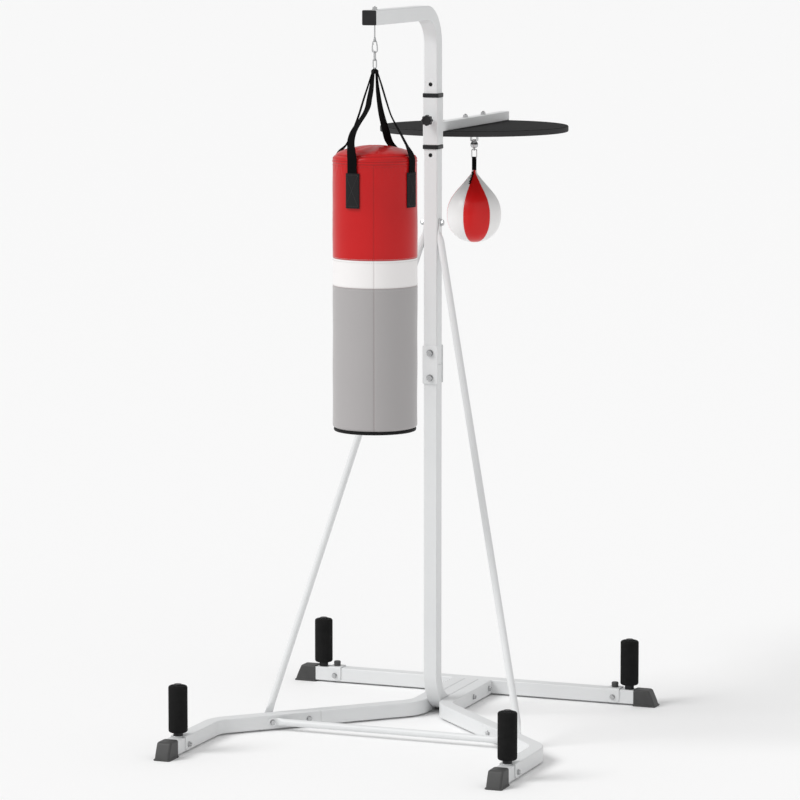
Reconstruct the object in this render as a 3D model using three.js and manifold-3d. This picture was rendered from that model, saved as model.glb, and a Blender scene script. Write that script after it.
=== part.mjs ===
import * as THREE from 'three';
import { mergeVertices } from 'three/addons/utils/BufferGeometryUtils.js';
import Module from 'manifold-3d';

// A hanging punching bag and a speed ball on one steel stand.
// Millimetres, +X right, +Y back, +Z up. Places are measured from the mast's axis at floor level.
// The finished group is moved so that its origin lies under the middle of its box.

// Square tube of the frame
const tubeSide = 45;
const tubeHalf = tubeSide / 2;
const tubeCorner = 4;
const tubeWall = 1.8;
const tubeBend = 100;
const gap = 0.3;

// Base
const baseAxisZ = 27.5;
const baseTopZ = baseAxisZ + tubeHalf;
const rearTubeY = 386;
const legStraightX = 45.5;
const legBendY = -20;
const legSideReach = 480.5;
const legFootX = legStraightX + legSideReach;
const legSeamAt = 336;
const legJointBoltAt = 376;
const braceBoltAt = 500;
const spigotSide = 40.4;
const spigotLength = 75;
const spigotRoot = 15;
const stubPastBolt = 30;
const centreBoltYs = { front: 191, rear: 334 };

// Feet
const bootWidth = 48;
const bootFlare = 54;
const bootHeight = 53;
const bootTopLength = 53;
const bootLength = 77;
const bootPocket = 48;
const rearBootX = 543;
const frontBootY = -828;
const pegRadius = 11;
const pegTopZ = 210;
const pegNeckRadius = 12.5;
const foamRadius = 29;
const foamBottomZ = 64;
const foamTopZ = 207;
const rearPegX = 526;
const frontPegY = -779;
const clipWidth = 42;
const clipThickness = 3;
const rearClipX = 478;
const frontClipY = -758;
const clipBoltZ = 25;
const clipBottomZ = 8;
const clipCorner = 13;
const plugRadius = 11;
const plugHeight = 16;
const plugEdge = { in: 1, down: 2 };

// Mast
const postBend = 110;
const spliceZ = 1115;
const splicePlateWidth = 50;
const splicePlateHeight = 120;
const splicePlateCorner = 4;
const spliceBoltZs = { lower: 1074, upper: 1152 };
const armAxisZ = 2210;
const armEndY = -537;
const capFace = 3;
const capInsert = 16;
const hangY = -493.5;
const braceTopZ = 1558;
const heightHoleRadius = 6.5;
const heightHoleZs = [1768.5, 1878, 1987.5];

// Braces and front bar
const barRadius = 11;
const tabHalfWidth = 13;
const tabThickness = 4;
const tabTip = { reach: 14, narrower: 6 };
const tabShoulder = { reach: 9, narrower: 2 };
const tabSquare = 3;
const pressLength = 34;
const braceFlat = 34;
const frontBarFlat = 17;

// Platform group
const sleeveBottomZ = 1800;
const sleeveTopZ = 1947;
const sleeveSide = 50;
const bushSide = 52;
const bushHeight = 13;
const knobZ = heightHoleZs[1];
const platformY = 374;
const platformRadius = 300;
const platformTopZ = 1838;
const platformBottomZ = 1820;
const platformArmSide = 30;
const platformArmWall = 1.6;
const platformArmCorner = 3;
const bossRadius = 10;
const knobRadius = 15.6;
const knobScallop = 1.4;
const knobDepth = 20;
const platformArmEndY = 665;
const platformBoltYs = { front: 292, rear: 457 };

// Speed ball
const linkTopZ = 1762;
const linkBottomZ = 1733;
const ballTopZ = 1696;
const ballWidestZ = 1550;
const ballBottomZ = 1465;
const ballRadius = 86.8;
const ballSkin = 3;

// Punching bag and its chain
const bagRadius = 128;
const bagBottomZ = 982;
const bagShoulderZ = 1782;
const bagTopZ = 1830;
const bagSkin = 4;
const baseCapBottomZ = 972;
const chainWire = 3.6;
const eyeCentreZ = 2143.4;
const eyeRadius = 5.5;
const eyeWire = 4;
const carabinerWidth = 18;
const carabinerBottomZ = 2105.3;
const chainLinkWidth = 14;
const chainLinkBottomZ = 2081.6;
const bagRingBottomZ = 2059.2;
const strapWidth = 32;
const strapThickness = 3;
const apexRadius = 12;
const apexAbove = 4;
const apexBelow = 9;
const strapFirstAzimuth = -10;
const strapBottomZ = 1648;

const finishes = {
  frame: { color: 0xdfe1e2, roughness: 0.45, metalness: 0.1 },
  zinc: { color: 0xb4b7ba, roughness: 0.3, metalness: 0.9 },
  rubber: { color: 0x242424, roughness: 0.7, metalness: 0 },
  foam: { color: 0x1b1b1b, roughness: 0.9, metalness: 0 },
  plastic: { color: 0x202020, roughness: 0.5, metalness: 0 },
  board: { color: 0x2a2a2a, roughness: 0.6, metalness: 0 },
  webbing: { color: 0x121212, roughness: 0.85, metalness: 0 },
  bagLeather: { color: 0xb81d20, roughness: 0.35, metalness: 0 },
  filling: { color: 0x8a8378, roughness: 0.95, metalness: 0 },
  ballLeather: { color: 0xc62021, roughness: 0.3, metalness: 0 },
};

const wasm = await Module();
wasm.setup();

const point = (x, y, z) => new THREE.Vector3(x, y, z);
const along = (from, direction, distance) => from.clone().addScaledVector(direction, distance);
const radians = (degrees) => THREE.MathUtils.degToRad(degrees);

// ---- Joining and cutting ----

function toSolid(geometry) {
  const bare = geometry.clone();
  bare.deleteAttribute('normal');
  bare.deleteAttribute('uv');
  const welded = mergeVertices(bare, 1e-4);
  return new wasm.Manifold(new wasm.Mesh({
    numProp: 3,
    vertProperties: new Float32Array(welded.attributes.position.array),
    triVerts: new Uint32Array(welded.index.array),
  }));
}

function toGeometry(solid) {
  const mesh = solid.getMesh();
  const geometry = new THREE.BufferGeometry();
  geometry.setAttribute('position', new THREE.BufferAttribute(mesh.vertProperties, 3));
  geometry.setIndex(new THREE.BufferAttribute(mesh.triVerts, 1));
  geometry.computeVertexNormals();
  return geometry;
}

function join(...pieces) {
  return toGeometry(pieces.map(toSolid).reduce((whole, piece) => whole.add(piece)));
}

function cut(piece, ...tools) {
  return toGeometry(tools.map(toSolid).reduce((rest, tool) => rest.subtract(tool), toSolid(piece)));
}

// ---- Basic shapes ----

// A block between two opposite corners.
function block(low, high) {
  const box = new THREE.BoxGeometry(high.x - low.x, high.y - low.y, high.z - low.z);
  return box.translate((low.x + high.x) / 2, (low.y + high.y) / 2, (low.z + high.z) / 2);
}

// A round rod from one point to another; six sides make a hexagon.
function rod(from, to, radius, sides = 12) {
  const run = to.clone().sub(from);
  const turn = new THREE.Quaternion().setFromUnitVectors(point(0, 1, 0), run.clone().normalize());
  const middle = from.clone().add(to).multiplyScalar(0.5);
  return new THREE.CylinderGeometry(radius, radius, run.length(), sides)
    .applyQuaternion(turn)
    .translate(middle.x, middle.y, middle.z);
}

// A profile of [radius, height] pairs turned about the vertical through x, y.
function turned(profile, sides, x = 0, y = 0) {
  const points = profile.map(([radius, height]) => new THREE.Vector2(radius, height));
  return new THREE.LatheGeometry(points, sides).rotateX(Math.PI / 2).translate(x, y, 0);
}

function roundedRectangle(width, height, corner, steps) {
  const outline = [];
  for (let quarter = 0; quarter < 4; quarter += 1) {
    const right = quarter === 0 || quarter === 3 ? 1 : -1;
    const top = quarter < 2 ? 1 : -1;
    for (let step = 0; step <= steps; step += 1) {
      const angle = (quarter + step / steps) * Math.PI / 2;
      outline.push(new THREE.Vector2(
        right * (width / 2 - corner) + corner * Math.cos(angle),
        top * (height / 2 - corner) + corner * Math.sin(angle),
      ));
    }
  }
  return outline;
}

function squareSection(side, wall, corner = tubeCorner) {
  const section = new THREE.Shape(roundedRectangle(side, side, corner, 2));
  const inside = side - 2 * wall;
  section.holes.push(new THREE.Path(roundedRectangle(inside, inside, Math.max(corner - wall, 0.6), 1)));
  return section;
}

// A tube's centre line: straight runs joined by arcs. Its stations are the ends of the runs and
// the points round each arc, so that a straight run takes only one step.
class BentRun extends THREE.Curve {
  constructor(corners, bendRadius = 0, bendSteps = 6) {
    super();
    const last = corners.length - 1;
    const heading = (index) => corners[index + 1].clone().sub(corners[index]).normalize();
    this.points = [corners[0].clone()];
    this.headings = [heading(0)];
    for (let index = 1; index < last; index += 1) {
      const before = heading(index - 1);
      const after = heading(index);
      const angle = before.angleTo(after);
      const start = along(corners[index], before, -bendRadius * Math.tan(angle / 2));
      const axis = before.clone().cross(after).normalize();
      const outward = before.clone().cross(axis).multiplyScalar(bendRadius);
      const centre = start.clone().sub(outward);
      for (let step = 0; step <= bendSteps; step += 1) {
        const turn = angle * step / bendSteps;
        this.points.push(outward.clone().applyAxisAngle(axis, turn).add(centre));
        this.headings.push(before.clone().applyAxisAngle(axis, turn));
      }
    }
    this.points.push(corners[last].clone());
    this.headings.push(heading(last - 1));
    this.steps = this.points.length - 1;
  }

  getPointAt(part) {
    return this.points[Math.round(part * this.steps)].clone();
  }

  getTangentAt(part) {
    return this.headings[Math.round(part * this.steps)].clone();
  }
}

function squareTube(corners, side = tubeSide, wall = tubeWall, bendRadius = tubeBend, bendSteps = 6) {
  const run = new BentRun(corners, bendRadius, bendSteps);
  return new THREE.ExtrudeGeometry(squareSection(side, wall), { extrudePath: run, steps: run.steps });
}

const wireSides = 8;
const ringSteps = 16;

// A closed wire link standing in the XZ plane: a ring pulled out sideways and lengthwise.
function wireLink(width, topZ, bottomZ, wire, cornerRadius = (width - wire) / 2) {
  const ring = new THREE.TorusGeometry(cornerRadius, wire / 2, wireSides, ringSteps).rotateX(Math.PI / 2);
  const places = ring.attributes.position;
  const halfWidth = (width - wire) / 2 - cornerRadius;
  const halfHeight = (topZ - bottomZ) / 2 - cornerRadius;
  const side = (value) => (Math.abs(value) < 1e-6 ? 0 : Math.sign(value));
  for (let index = 0; index < places.count; index += 1) {
    const around = (index % (ringSteps + 1)) * Math.PI * 2 / ringSteps;
    places.setX(index, places.getX(index) + halfWidth * side(Math.cos(around)));
    places.setZ(index, places.getZ(index) + halfHeight * side(Math.sin(around)));
  }
  return ring.translate(0, 0, (topZ + bottomZ) / 2);
}

// ---- Fasteners ----

const boltSizes = {
  small: { shank: 4, head: 7.5, headHeight: 5.5, nutHeight: 6.5, tail: 3, washer: 9 },
  large: { shank: 5, head: 9.8, headHeight: 6.5, nutHeight: 8, tail: 4, washer: 11.5 },
};
const washerHeight = 1.5;

// A hexagon bolt with its washers and nut, from the face under its head to the face under its nut.
function bolt(from, to, size) {
  const direction = to.clone().sub(from).normalize();
  const headSeat = along(from, direction, -gap);
  const nutSeat = along(to, direction, gap);
  const headTop = along(headSeat, direction, -washerHeight - size.headHeight);
  const nutTop = along(nutSeat, direction, washerHeight + size.nutHeight);
  return join(
    rod(headTop, along(nutTop, direction, size.tail), size.shank, 8),
    rod(headTop, along(headSeat, direction, -washerHeight / 2), size.head, 6),
    rod(along(headSeat, direction, -washerHeight), headSeat, size.washer),
    rod(along(nutSeat, direction, washerHeight / 2), nutTop, size.head, 6),
    rod(nutSeat, along(nutSeat, direction, washerHeight), size.washer),
  );
}

// The drill that makes a bolt's holes.
function drill(from, to, size) {
  const direction = to.clone().sub(from).normalize();
  return rod(along(from, direction, -2), along(to, direction, 2), size.shank + 2 * gap, 8);
}

// ---- Places on the legs ----

const diagonal = (side) => point(side, -1, 0).normalize();
const outwardBack = (side) => point(side, 1, 0).normalize();
const legBend = (side) => point(side * legStraightX, legBendY, baseAxisZ);

// A point on a leg's diagonal, so far from its rear bend and so far out of its middle.
function onLeg(side, distance, offset = 0) {
  return along(along(legBend(side), diagonal(side), distance), outwardBack(side), offset);
}

const boltFaces = {
  frontCentre: [point(-legStraightX - tubeHalf, centreBoltYs.front, baseAxisZ),
    point(legStraightX + tubeHalf, centreBoltYs.front, baseAxisZ)],
  rearCentre: [point(-legStraightX - tubeHalf, centreBoltYs.rear, baseAxisZ),
    point(legStraightX + tubeHalf, centreBoltYs.rear, baseAxisZ)],
  lowerSplice: [point(0, -tubeHalf - gap - clipThickness, spliceBoltZs.lower),
    point(0, tubeHalf + gap + clipThickness, spliceBoltZs.lower)],
  upperSplice: [point(0, -tubeHalf - gap - clipThickness, spliceBoltZs.upper),
    point(0, tubeHalf + gap + clipThickness, spliceBoltZs.upper)],
  braceTop: [point(tubeHalf + gap + tabThickness, 0, braceTopZ),
    point(-tubeHalf - gap - tabThickness, 0, braceTopZ)],
};
const legJointFaces = (side) => [onLeg(side, legJointBoltAt, -tubeHalf), onLeg(side, legJointBoltAt, tubeHalf)];
const braceFaces = (side) => {
  const reach = tubeHalf + gap + tabThickness;
  return [onLeg(side, braceBoltAt, -reach), onLeg(side, braceBoltAt, reach)];
};
const clipReach = tubeHalf + gap + clipThickness;
const rearClipFaces = (side) => [point(side * rearClipX, rearTubeY - clipReach, clipBoltZ),
  point(side * rearClipX, rearTubeY + clipReach, clipBoltZ)];
const frontClipFaces = (side) => [point(side * (legFootX + clipReach), frontClipY, clipBoltZ),
  point(side * (legFootX - clipReach), frontClipY, clipBoltZ)];

// ---- Frame tubes ----

function peg(x, y) {
  return turned([
    [0, baseTopZ - 1], [pegNeckRadius, baseTopZ - 1], [pegNeckRadius, foamBottomZ - gap],
    [pegRadius, foamBottomZ - gap], [pegRadius, pegTopZ - 1], [pegRadius - 1, pegTopZ], [0, pegTopZ],
  ], 12, x, y);
}

function rearCrossTube() {
  const end = rearBootX + bootPocket;
  const tube = squareTube([point(-end, rearTubeY, baseAxisZ), point(end, rearTubeY, baseAxisZ)]);
  const stub = squareTube([
    point(0, rearTubeY - tubeHalf + tubeWall / 2, baseAxisZ),
    point(0, centreBoltYs.rear - stubPastBolt, baseAxisZ),
  ], spigotSide);
  const welded = join(tube, stub, peg(-rearPegX, rearTubeY), peg(rearPegX, rearTubeY));
  return cut(
    welded,
    drill(...boltFaces.rearCentre, boltSizes.small),
    drill(...rearClipFaces(-1), boltSizes.small),
    drill(...rearClipFaces(1), boltSizes.small),
  );
}

// The inner half of a leg ends in a narrower spigot that slides into the outer half.
function innerLeg(side) {
  const rearEnd = point(side * legStraightX, rearTubeY - tubeHalf - gap, baseAxisZ);
  const tube = squareTube([rearEnd, legBend(side), onLeg(side, legSeamAt)]);
  const spigot = squareTube([onLeg(side, legSeamAt - spigotRoot), onLeg(side, legSeamAt + spigotLength)], spigotSide);
  const ring = squareTube([onLeg(side, legSeamAt - spigotRoot), onLeg(side, legSeamAt)], spigotSide + 2, 3);
  return cut(
    join(tube, ring, spigot),
    drill(...boltFaces.frontCentre, boltSizes.small),
    drill(...boltFaces.rearCentre, boltSizes.small),
    drill(...legJointFaces(side), boltSizes.small),
  );
}

function outerLeg(side) {
  const frontBend = point(side * legFootX, legBendY - legSideReach, baseAxisZ);
  const frontEnd = point(side * legFootX, frontBootY - bootPocket, baseAxisZ);
  const tube = squareTube([onLeg(side, legSeamAt + gap), frontBend, frontEnd]);
  return cut(
    join(tube, peg(side * legFootX, frontPegY)),
    drill(...legJointFaces(side), boltSizes.small),
    drill(...braceFaces(side), boltSizes.small),
    drill(...frontClipFaces(side), boltSizes.small),
  );
}

function lowerPost() {
  const tube = squareTube([
    point(0, rearTubeY - tubeHalf - gap, baseAxisZ),
    point(0, 0, baseAxisZ),
    point(0, 0, spliceZ - gap / 2),
  ], tubeSide, tubeWall, postBend, 9);
  return cut(
    tube,
    drill(...boltFaces.frontCentre, boltSizes.small),
    drill(...boltFaces.rearCentre, boltSizes.small),
    drill(...boltFaces.lowerSplice, boltSizes.large),
  );
}

const hangerShank = 2.1;

function upperMast() {
  const tube = squareTube([
    point(0, 0, spliceZ + gap / 2), point(0, 0, armAxisZ), point(0, armEndY, armAxisZ),
  ], tubeSide, tubeWall, tubeBend, 9);
  const heightHoles = heightHoleZs.map((z) => rod(point(0, -tubeHalf - 2, z), point(0, 0, z), heightHoleRadius));
  const hangerHole = rod(
    point(0, hangY, armAxisZ - tubeSide), point(0, hangY, armAxisZ + tubeSide), hangerShank + gap,
  );
  return cut(
    tube,
    drill(...boltFaces.upperSplice, boltSizes.large),
    drill(...boltFaces.braceTop, boltSizes.large),
    ...heightHoles,
    hangerHole,
  );
}

function splicePlate(side) {
  const inner = side * (tubeHalf + gap);
  const outer = side * (tubeHalf + gap + clipThickness);
  const outline = new THREE.Shape(
    roundedRectangle(splicePlateWidth, splicePlateHeight, splicePlateCorner, 3),
  );
  const plate = new THREE.ExtrudeGeometry(outline, { depth: clipThickness, bevelEnabled: false })
    .rotateX(Math.PI / 2)
    .translate(0, Math.max(inner, outer), spliceZ);
  return cut(
    plate,
    drill(...boltFaces.lowerSplice, boltSizes.large),
    drill(...boltFaces.upperSplice, boltSizes.large),
  );
}

function armEndCap() {
  const flange = new THREE.ExtrudeGeometry(
    new THREE.Shape(roundedRectangle(tubeSide, tubeSide, tubeCorner, 3)),
    { depth: capFace, bevelEnabled: false },
  ).rotateX(Math.PI / 2).translate(0, armEndY - gap, armAxisZ);
  const insert = squareTube(
    [point(0, armEndY - 1, armAxisZ), point(0, armEndY + capInsert, armAxisZ)], tubeSide - 2 * (tubeWall + gap), capFace,
  );
  return join(flange, insert);
}

// ---- Braces and front bar ----

// A round bar whose ends are pressed flat against the faces they are bolted to. Each station
// gives its middle, heading, face normal, half sizes and how square its section is.
function pressedBar(stations) {
  const sides = 12;
  const rows = stations.length - 1;
  const bar = new THREE.CylinderGeometry(1, 1, rows, sides, rows);
  const places = bar.attributes.position;
  for (let index = 0; index < places.count; index += 1) {
    const station = stations[Math.round(rows / 2 - places.getY(index))];
    const wide = station.normal.clone().cross(station.heading).normalize();
    const thin = station.heading.clone().cross(wide).normalize();
    const press = (value) => (Math.abs(value) < 1e-6 ? 0 : Math.sign(value) * Math.abs(value) ** station.power);
    const place = station.middle.clone()
      .addScaledVector(wide, station.halfWidth * press(places.getX(index)))
      .addScaledVector(thin, station.halfThickness * press(places.getZ(index)));
    places.setXYZ(index, place.x, place.y, place.z);
  }
  return bar;
}

// The stations of one bar, from one bolt to the other. Each end is { bolt, normal, heading },
// where heading runs from the bolt along the face towards the bar.
function barStations(start, end, flatLength) {
  const flat = (bolt, offset, heading, normal, width = tabHalfWidth) => ({
    middle: along(bolt, heading, offset),
    heading,
    normal,
    halfWidth: width,
    halfThickness: tabThickness / 2,
    power: 0.45,
  });
  const startBend = along(start.bolt, start.heading, flatLength);
  const endBend = along(end.bolt, end.heading, flatLength);
  const run = endBend.clone().sub(startBend).normalize();
  const round = (middle, normal) => ({
    middle, heading: run, normal, halfWidth: barRadius, halfThickness: barRadius, power: 1,
  });
  const backHeading = end.heading.clone().negate();
  return [
    flat(start.bolt, -tabTip.reach, start.heading, start.normal, tabHalfWidth - tabTip.narrower),
    flat(start.bolt, -tabShoulder.reach, start.heading, start.normal, tabHalfWidth - tabShoulder.narrower),
    flat(start.bolt, -tabSquare, start.heading, start.normal),
    flat(start.bolt, flatLength - tabThickness, start.heading, start.normal),
    round(along(startBend, run, pressLength), start.normal),
    round(along(endBend, run, -pressLength), end.normal),
    flat(endBend, tabThickness, backHeading, end.normal),
    flat(end.bolt, tabSquare, backHeading, end.normal),
    flat(end.bolt, tabShoulder.reach, backHeading, end.normal, tabHalfWidth - tabShoulder.narrower),
    flat(end.bolt, tabTip.reach, backHeading, end.normal, tabHalfWidth - tabTip.narrower),
  ];
}

const tabMiddle = tubeHalf + gap + tabThickness / 2;

function brace(side) {
  const topBolt = point(side * tabMiddle, 0, braceTopZ);
  const bottomBolt = onLeg(side, braceBoltAt, tabMiddle);
  const run = bottomBolt.clone().sub(topBolt).normalize();
  const topNormal = point(side, 0, 0);
  const bottomNormal = outwardBack(side);
  const top = { bolt: topBolt, normal: topNormal, heading: run.clone().projectOnPlane(topNormal).normalize() };
  const bottom = {
    bolt: bottomBolt,
    normal: bottomNormal,
    heading: run.clone().negate().projectOnPlane(bottomNormal).normalize(),
  };
  return cut(
    pressedBar(barStations(top, bottom, braceFlat)),
    drill(...boltFaces.braceTop, boltSizes.large),
    drill(...braceFaces(side), boltSizes.small),
  );
}

function frontBar() {
  const end = (side) => ({
    bolt: onLeg(side, braceBoltAt, -tabMiddle),
    normal: outwardBack(side).negate(),
    heading: diagonal(side).negate(),
  });
  return cut(
    pressedBar(barStations(end(-1), end(1), frontBarFlat)),
    drill(...braceFaces(-1), boltSizes.small),
    drill(...braceFaces(1), boltSizes.small),
  );
}

// ---- Feet ----

// A boot's outer end points along +X; its pocket opens at x = 0.
function boot() {
  const outline = new THREE.Shape([
    [0, 0], [bootLength, 0], [bootLength - 2, 4], [bootTopLength + 3, bootHeight - 2],
    [bootTopLength, bootHeight], [0, bootHeight], [0, 4],
  ].map(([x, z]) => new THREE.Vector2(x, z)));
  const shell = new THREE.ExtrudeGeometry(outline, { depth: bootWidth, bevelEnabled: false })
    .rotateX(Math.PI / 2)
    .translate(0, bootWidth / 2, 0);
  const places = shell.attributes.position;
  for (let index = 0; index < places.count; index += 1) {
    if (places.getZ(index) < 1) {
      places.setY(index, places.getY(index) * bootFlare / bootWidth);
    }
  }
  const half = tubeHalf + gap;
  return cut(shell, block(
    point(-1, -half, baseAxisZ - half), point(bootPocket + gap, half, baseAxisZ + half),
  ));
}

function foamRoller() {
  const bore = pegRadius + 2 * gap;
  const rim = 6;
  const outer = [];
  for (const [middleZ, first] of [[foamBottomZ + rim, -90], [foamTopZ - rim, 0]]) {
    for (let step = 0; step <= 2; step += 1) {
      const angle = radians(first + step * 45);
      outer.push([foamRadius - rim + rim * Math.cos(angle), middleZ + rim * Math.sin(angle)]);
    }
  }
  return turned([[bore, foamBottomZ], ...outer, [bore, foamTopZ], [bore, foamBottomZ]], 18);
}

// A clip folded over the tube that runs along X; the neck of a peg may pass through its top.
function clip() {
  const bottomZ = clipBottomZ - baseAxisZ;
  const topZ = tubeHalf + gap + clipThickness;
  const half = clipWidth / 2;
  const outline = new THREE.Shape();
  outline.moveTo(-half, topZ);
  outline.lineTo(-half, bottomZ + clipCorner);
  outline.absarc(-half + clipCorner, bottomZ + clipCorner, clipCorner, Math.PI, Math.PI * 1.5, false);
  outline.absarc(half - clipCorner, bottomZ + clipCorner, clipCorner, Math.PI * 1.5, Math.PI * 2, false);
  outline.lineTo(half, topZ);
  const width = 2 * (tubeHalf + gap + clipThickness);
  const saddle = new THREE.ExtrudeGeometry(outline, { depth: width, bevelEnabled: false, curveSegments: 2 })
    .rotateX(Math.PI / 2)
    .translate(0, width / 2, 0);
  const inner = tubeHalf + gap;
  return cut(saddle, block(point(-half - 1, -inner, -tubeSide), point(half + 1, inner, inner)));
}

function rearClip(side) {
  return cut(
    clip().translate(side * rearClipX, rearTubeY, baseAxisZ),
    drill(...rearClipFaces(side), boltSizes.small),
  );
}

function frontClip(side) {
  return cut(
    clip().rotateZ(Math.PI / 2).translate(side * legFootX, frontClipY, baseAxisZ),
    drill(...frontClipFaces(side), boltSizes.small),
    rod(
      point(side * legFootX, frontPegY, baseAxisZ),
      point(side * legFootX, frontPegY, foamBottomZ),
      pegNeckRadius + gap + 0.2,
    ),
  );
}

const clipTopZ = baseTopZ + gap + clipThickness;

function clipPlug() {
  return turned([
    [0, 0], [plugRadius, 0], [plugRadius, plugHeight - plugEdge.down], [plugRadius - plugEdge.in, plugHeight],
    [0, plugHeight],
  ], 20);
}

// ---- Height sleeve and platform ----

const sleeveInside = tubeSide + 2 * gap;
const bossEndY = -43;
const pinRadius = 5;

const platformBoltFaces = (y) => [point(0, y, platformBottomZ), point(0, y, platformTopZ + platformArmSide)];

// The sleeve, the boss for its locking pin and the platform's arm are welded into one piece.
function sleeveAndArm() {
  const tube = squareTube(
    [point(0, 0, sleeveBottomZ + gap), point(0, 0, sleeveTopZ - gap)], sleeveSide, (sleeveSide - sleeveInside) / 2,
  );
  const boss = rod(point(0, -sleeveSide / 2 + 1, knobZ), point(0, bossEndY, knobZ), bossRadius);
  const armSide = platformArmSide - gap;
  const armZ = platformTopZ + gap + armSide / 2;
  const section = new THREE.Shape(roundedRectangle(armSide, armSide, platformArmCorner, 2));
  const inside = armSide - 2 * platformArmWall;
  section.holes.push(new THREE.Path(roundedRectangle(inside, inside, platformArmCorner / 2, 1)));
  const run = new BentRun([point(0, sleeveSide / 2 - 1, armZ), point(0, platformArmEndY, armZ)]);
  const arm = new THREE.ExtrudeGeometry(section, { extrudePath: run, steps: run.steps });
  return cut(
    join(tube, boss, arm),
    rod(point(0, bossEndY - 2, knobZ), point(0, -tubeHalf, knobZ), pinRadius + gap),
    drill(...platformBoltFaces(platformBoltYs.front), boltSizes.small),
    drill(...platformBoltFaces(platformBoltYs.rear), boltSizes.small),
  );
}

function bush(bottomZ) {
  const wall = (bushSide - sleeveInside) / 2;
  return squareTube([point(0, 0, bottomZ), point(0, 0, bottomZ + bushHeight)], bushSide, wall);
}

// A scalloped knob on the pin that locks the sleeve; the knob faces the front.
function heightKnob() {
  const lobes = 8;
  const outline = [];
  for (let step = 0; step < lobes * 6; step += 1) {
    const angle = step / (lobes * 6) * Math.PI * 2;
    const radius = knobRadius + knobScallop * Math.cos(angle * lobes);
    outline.push(new THREE.Vector2(radius * Math.cos(angle), radius * Math.sin(angle)));
  }
  const head = new THREE.ExtrudeGeometry(new THREE.Shape(outline), { depth: knobDepth, bevelEnabled: false })
    .rotateX(Math.PI / 2)
    .translate(0, bossEndY - gap, knobZ);
  const pin = rod(point(0, bossEndY - 5, knobZ), point(0, -tubeHalf - 0.8, knobZ), pinRadius);
  return join(head, pin);
}

function platform() {
  const edge = 1.5;
  const disc = turned([
    [0, platformBottomZ], [platformRadius - edge, platformBottomZ], [platformRadius, platformBottomZ + edge],
    [platformRadius, platformTopZ - edge], [platformRadius - edge, platformTopZ], [0, platformTopZ],
  ], 48, 0, platformY);
  return cut(
    disc,
    drill(...platformBoltFaces(platformBoltYs.front), boltSizes.small),
    drill(...platformBoltFaces(platformBoltYs.rear), boltSizes.small),
  );
}

// ---- Speed ball and its swivel, placed about the middle of the platform ----

const forkBottomZ = 1787;
const swivelHeadTopZ = forkBottomZ - gap;
const swivelPlateRadius = 32;
const sheetThickness = 3;
const fork = { outside: 12, halfDepth: 7 };
const swivelPinRadius = 3;

function swivelPlate() {
  const plateTopZ = platformBottomZ - gap;
  const plateBottomZ = plateTopZ - sheetThickness;
  const inside = fork.outside - sheetThickness;
  return cut(
    join(
      turned([
        [0, plateBottomZ], [swivelPlateRadius, plateBottomZ], [swivelPlateRadius, plateTopZ], [0, plateTopZ],
      ], 32),
      block(point(-fork.outside, -fork.halfDepth, forkBottomZ), point(-inside, fork.halfDepth, plateTopZ)),
      block(point(inside, -fork.halfDepth, forkBottomZ), point(fork.outside, fork.halfDepth, plateTopZ)),
      block(
        point(-fork.outside, -fork.halfDepth, forkBottomZ),
        point(fork.outside, fork.halfDepth, forkBottomZ + sheetThickness),
      ),
    ),
    rod(
      point(0, 0, forkBottomZ - 1), point(0, 0, forkBottomZ + sheetThickness + 1), swivelPinRadius + gap,
    ),
  );
}

// The head's outline, then its pin through the fork and the pin's button.
function swivelHead() {
  const pinTopZ = forkBottomZ + sheetThickness + gap;
  const button = { radius: 5.5, height: 3.5 };
  const eyeHalf = { x: 2.5, y: 5 };
  const eyeHole = 2.1;
  const head = turned([
    [0, 1767], [8, 1767], [12, 1771], [12.5, 1775], [12, 1780], [8, swivelHeadTopZ],
    [swivelPinRadius, swivelHeadTopZ], [swivelPinRadius, pinTopZ], [button.radius, pinTopZ],
    [button.radius, pinTopZ + button.height], [0, pinTopZ + button.height],
  ], 16);
  const eye = block(
    point(-eyeHalf.x, -eyeHalf.y, linkTopZ - eyeHalf.y), point(eyeHalf.x, eyeHalf.y, 1769),
  );
  return cut(join(head, eye), rod(point(-4, 0, linkTopZ), point(4, 0, linkTopZ), eyeHole, 12));
}

const ballLinkWire = 3.5;
const ballLinkWidth = 20;
const ballLinkCorner = 2;
const ballLoopWidth = 12.4;

function ballLoop() {
  const halfDepth = 5;
  const bore = 2.6;
  const outline = new THREE.Shape();
  outline.moveTo(-halfDepth, ballTopZ + gap);
  outline.lineTo(halfDepth, ballTopZ + gap);
  outline.lineTo(halfDepth, linkBottomZ);
  outline.absarc(0, linkBottomZ, halfDepth, 0, Math.PI, false);
  const eye = new THREE.Path();
  eye.absarc(0, linkBottomZ, bore, 0, Math.PI * 2, true);
  outline.holes.push(eye);
  return new THREE.ExtrudeGeometry(outline, { depth: ballLoopWidth, bevelEnabled: false, curveSegments: 6 })
    .rotateX(Math.PI / 2)
    .translate(0, ballLoopWidth / 2, 0)
    .rotateZ(Math.PI / 2);
}

// Half the teardrop's outline, from the bottom up to its neck, drawn in by a skin thickness.
function ballOutline(skin) {
  const below = [];
  for (let step = 1; step <= 5; step += 1) {
    const angle = radians(-90 + step * 90 / 5);
    below.push([
      (ballRadius - skin) * Math.cos(angle),
      ballWidestZ + (ballWidestZ - ballBottomZ - skin) * Math.sin(angle),
    ]);
  }
  const above = [[85.6, 1572], [77.9, 1597], [62.4, 1622], [41.4, 1646.5], [20.8, 1671.3]];
  return [...below, ...above.map(([radius, z]) => [radius - skin, z - skin / 2])];
}

function speedBall() {
  const mouth = 3.5;
  return turned([
    [0, ballBottomZ], ...ballOutline(0), [8, ballTopZ], [mouth, ballTopZ],
    [mouth, 1684], ...ballOutline(ballSkin).reverse(), [0, ballBottomZ + ballSkin],
  ], 20);
}

// ---- Punching bag and its chain, placed about the hanging axis ----

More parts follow.
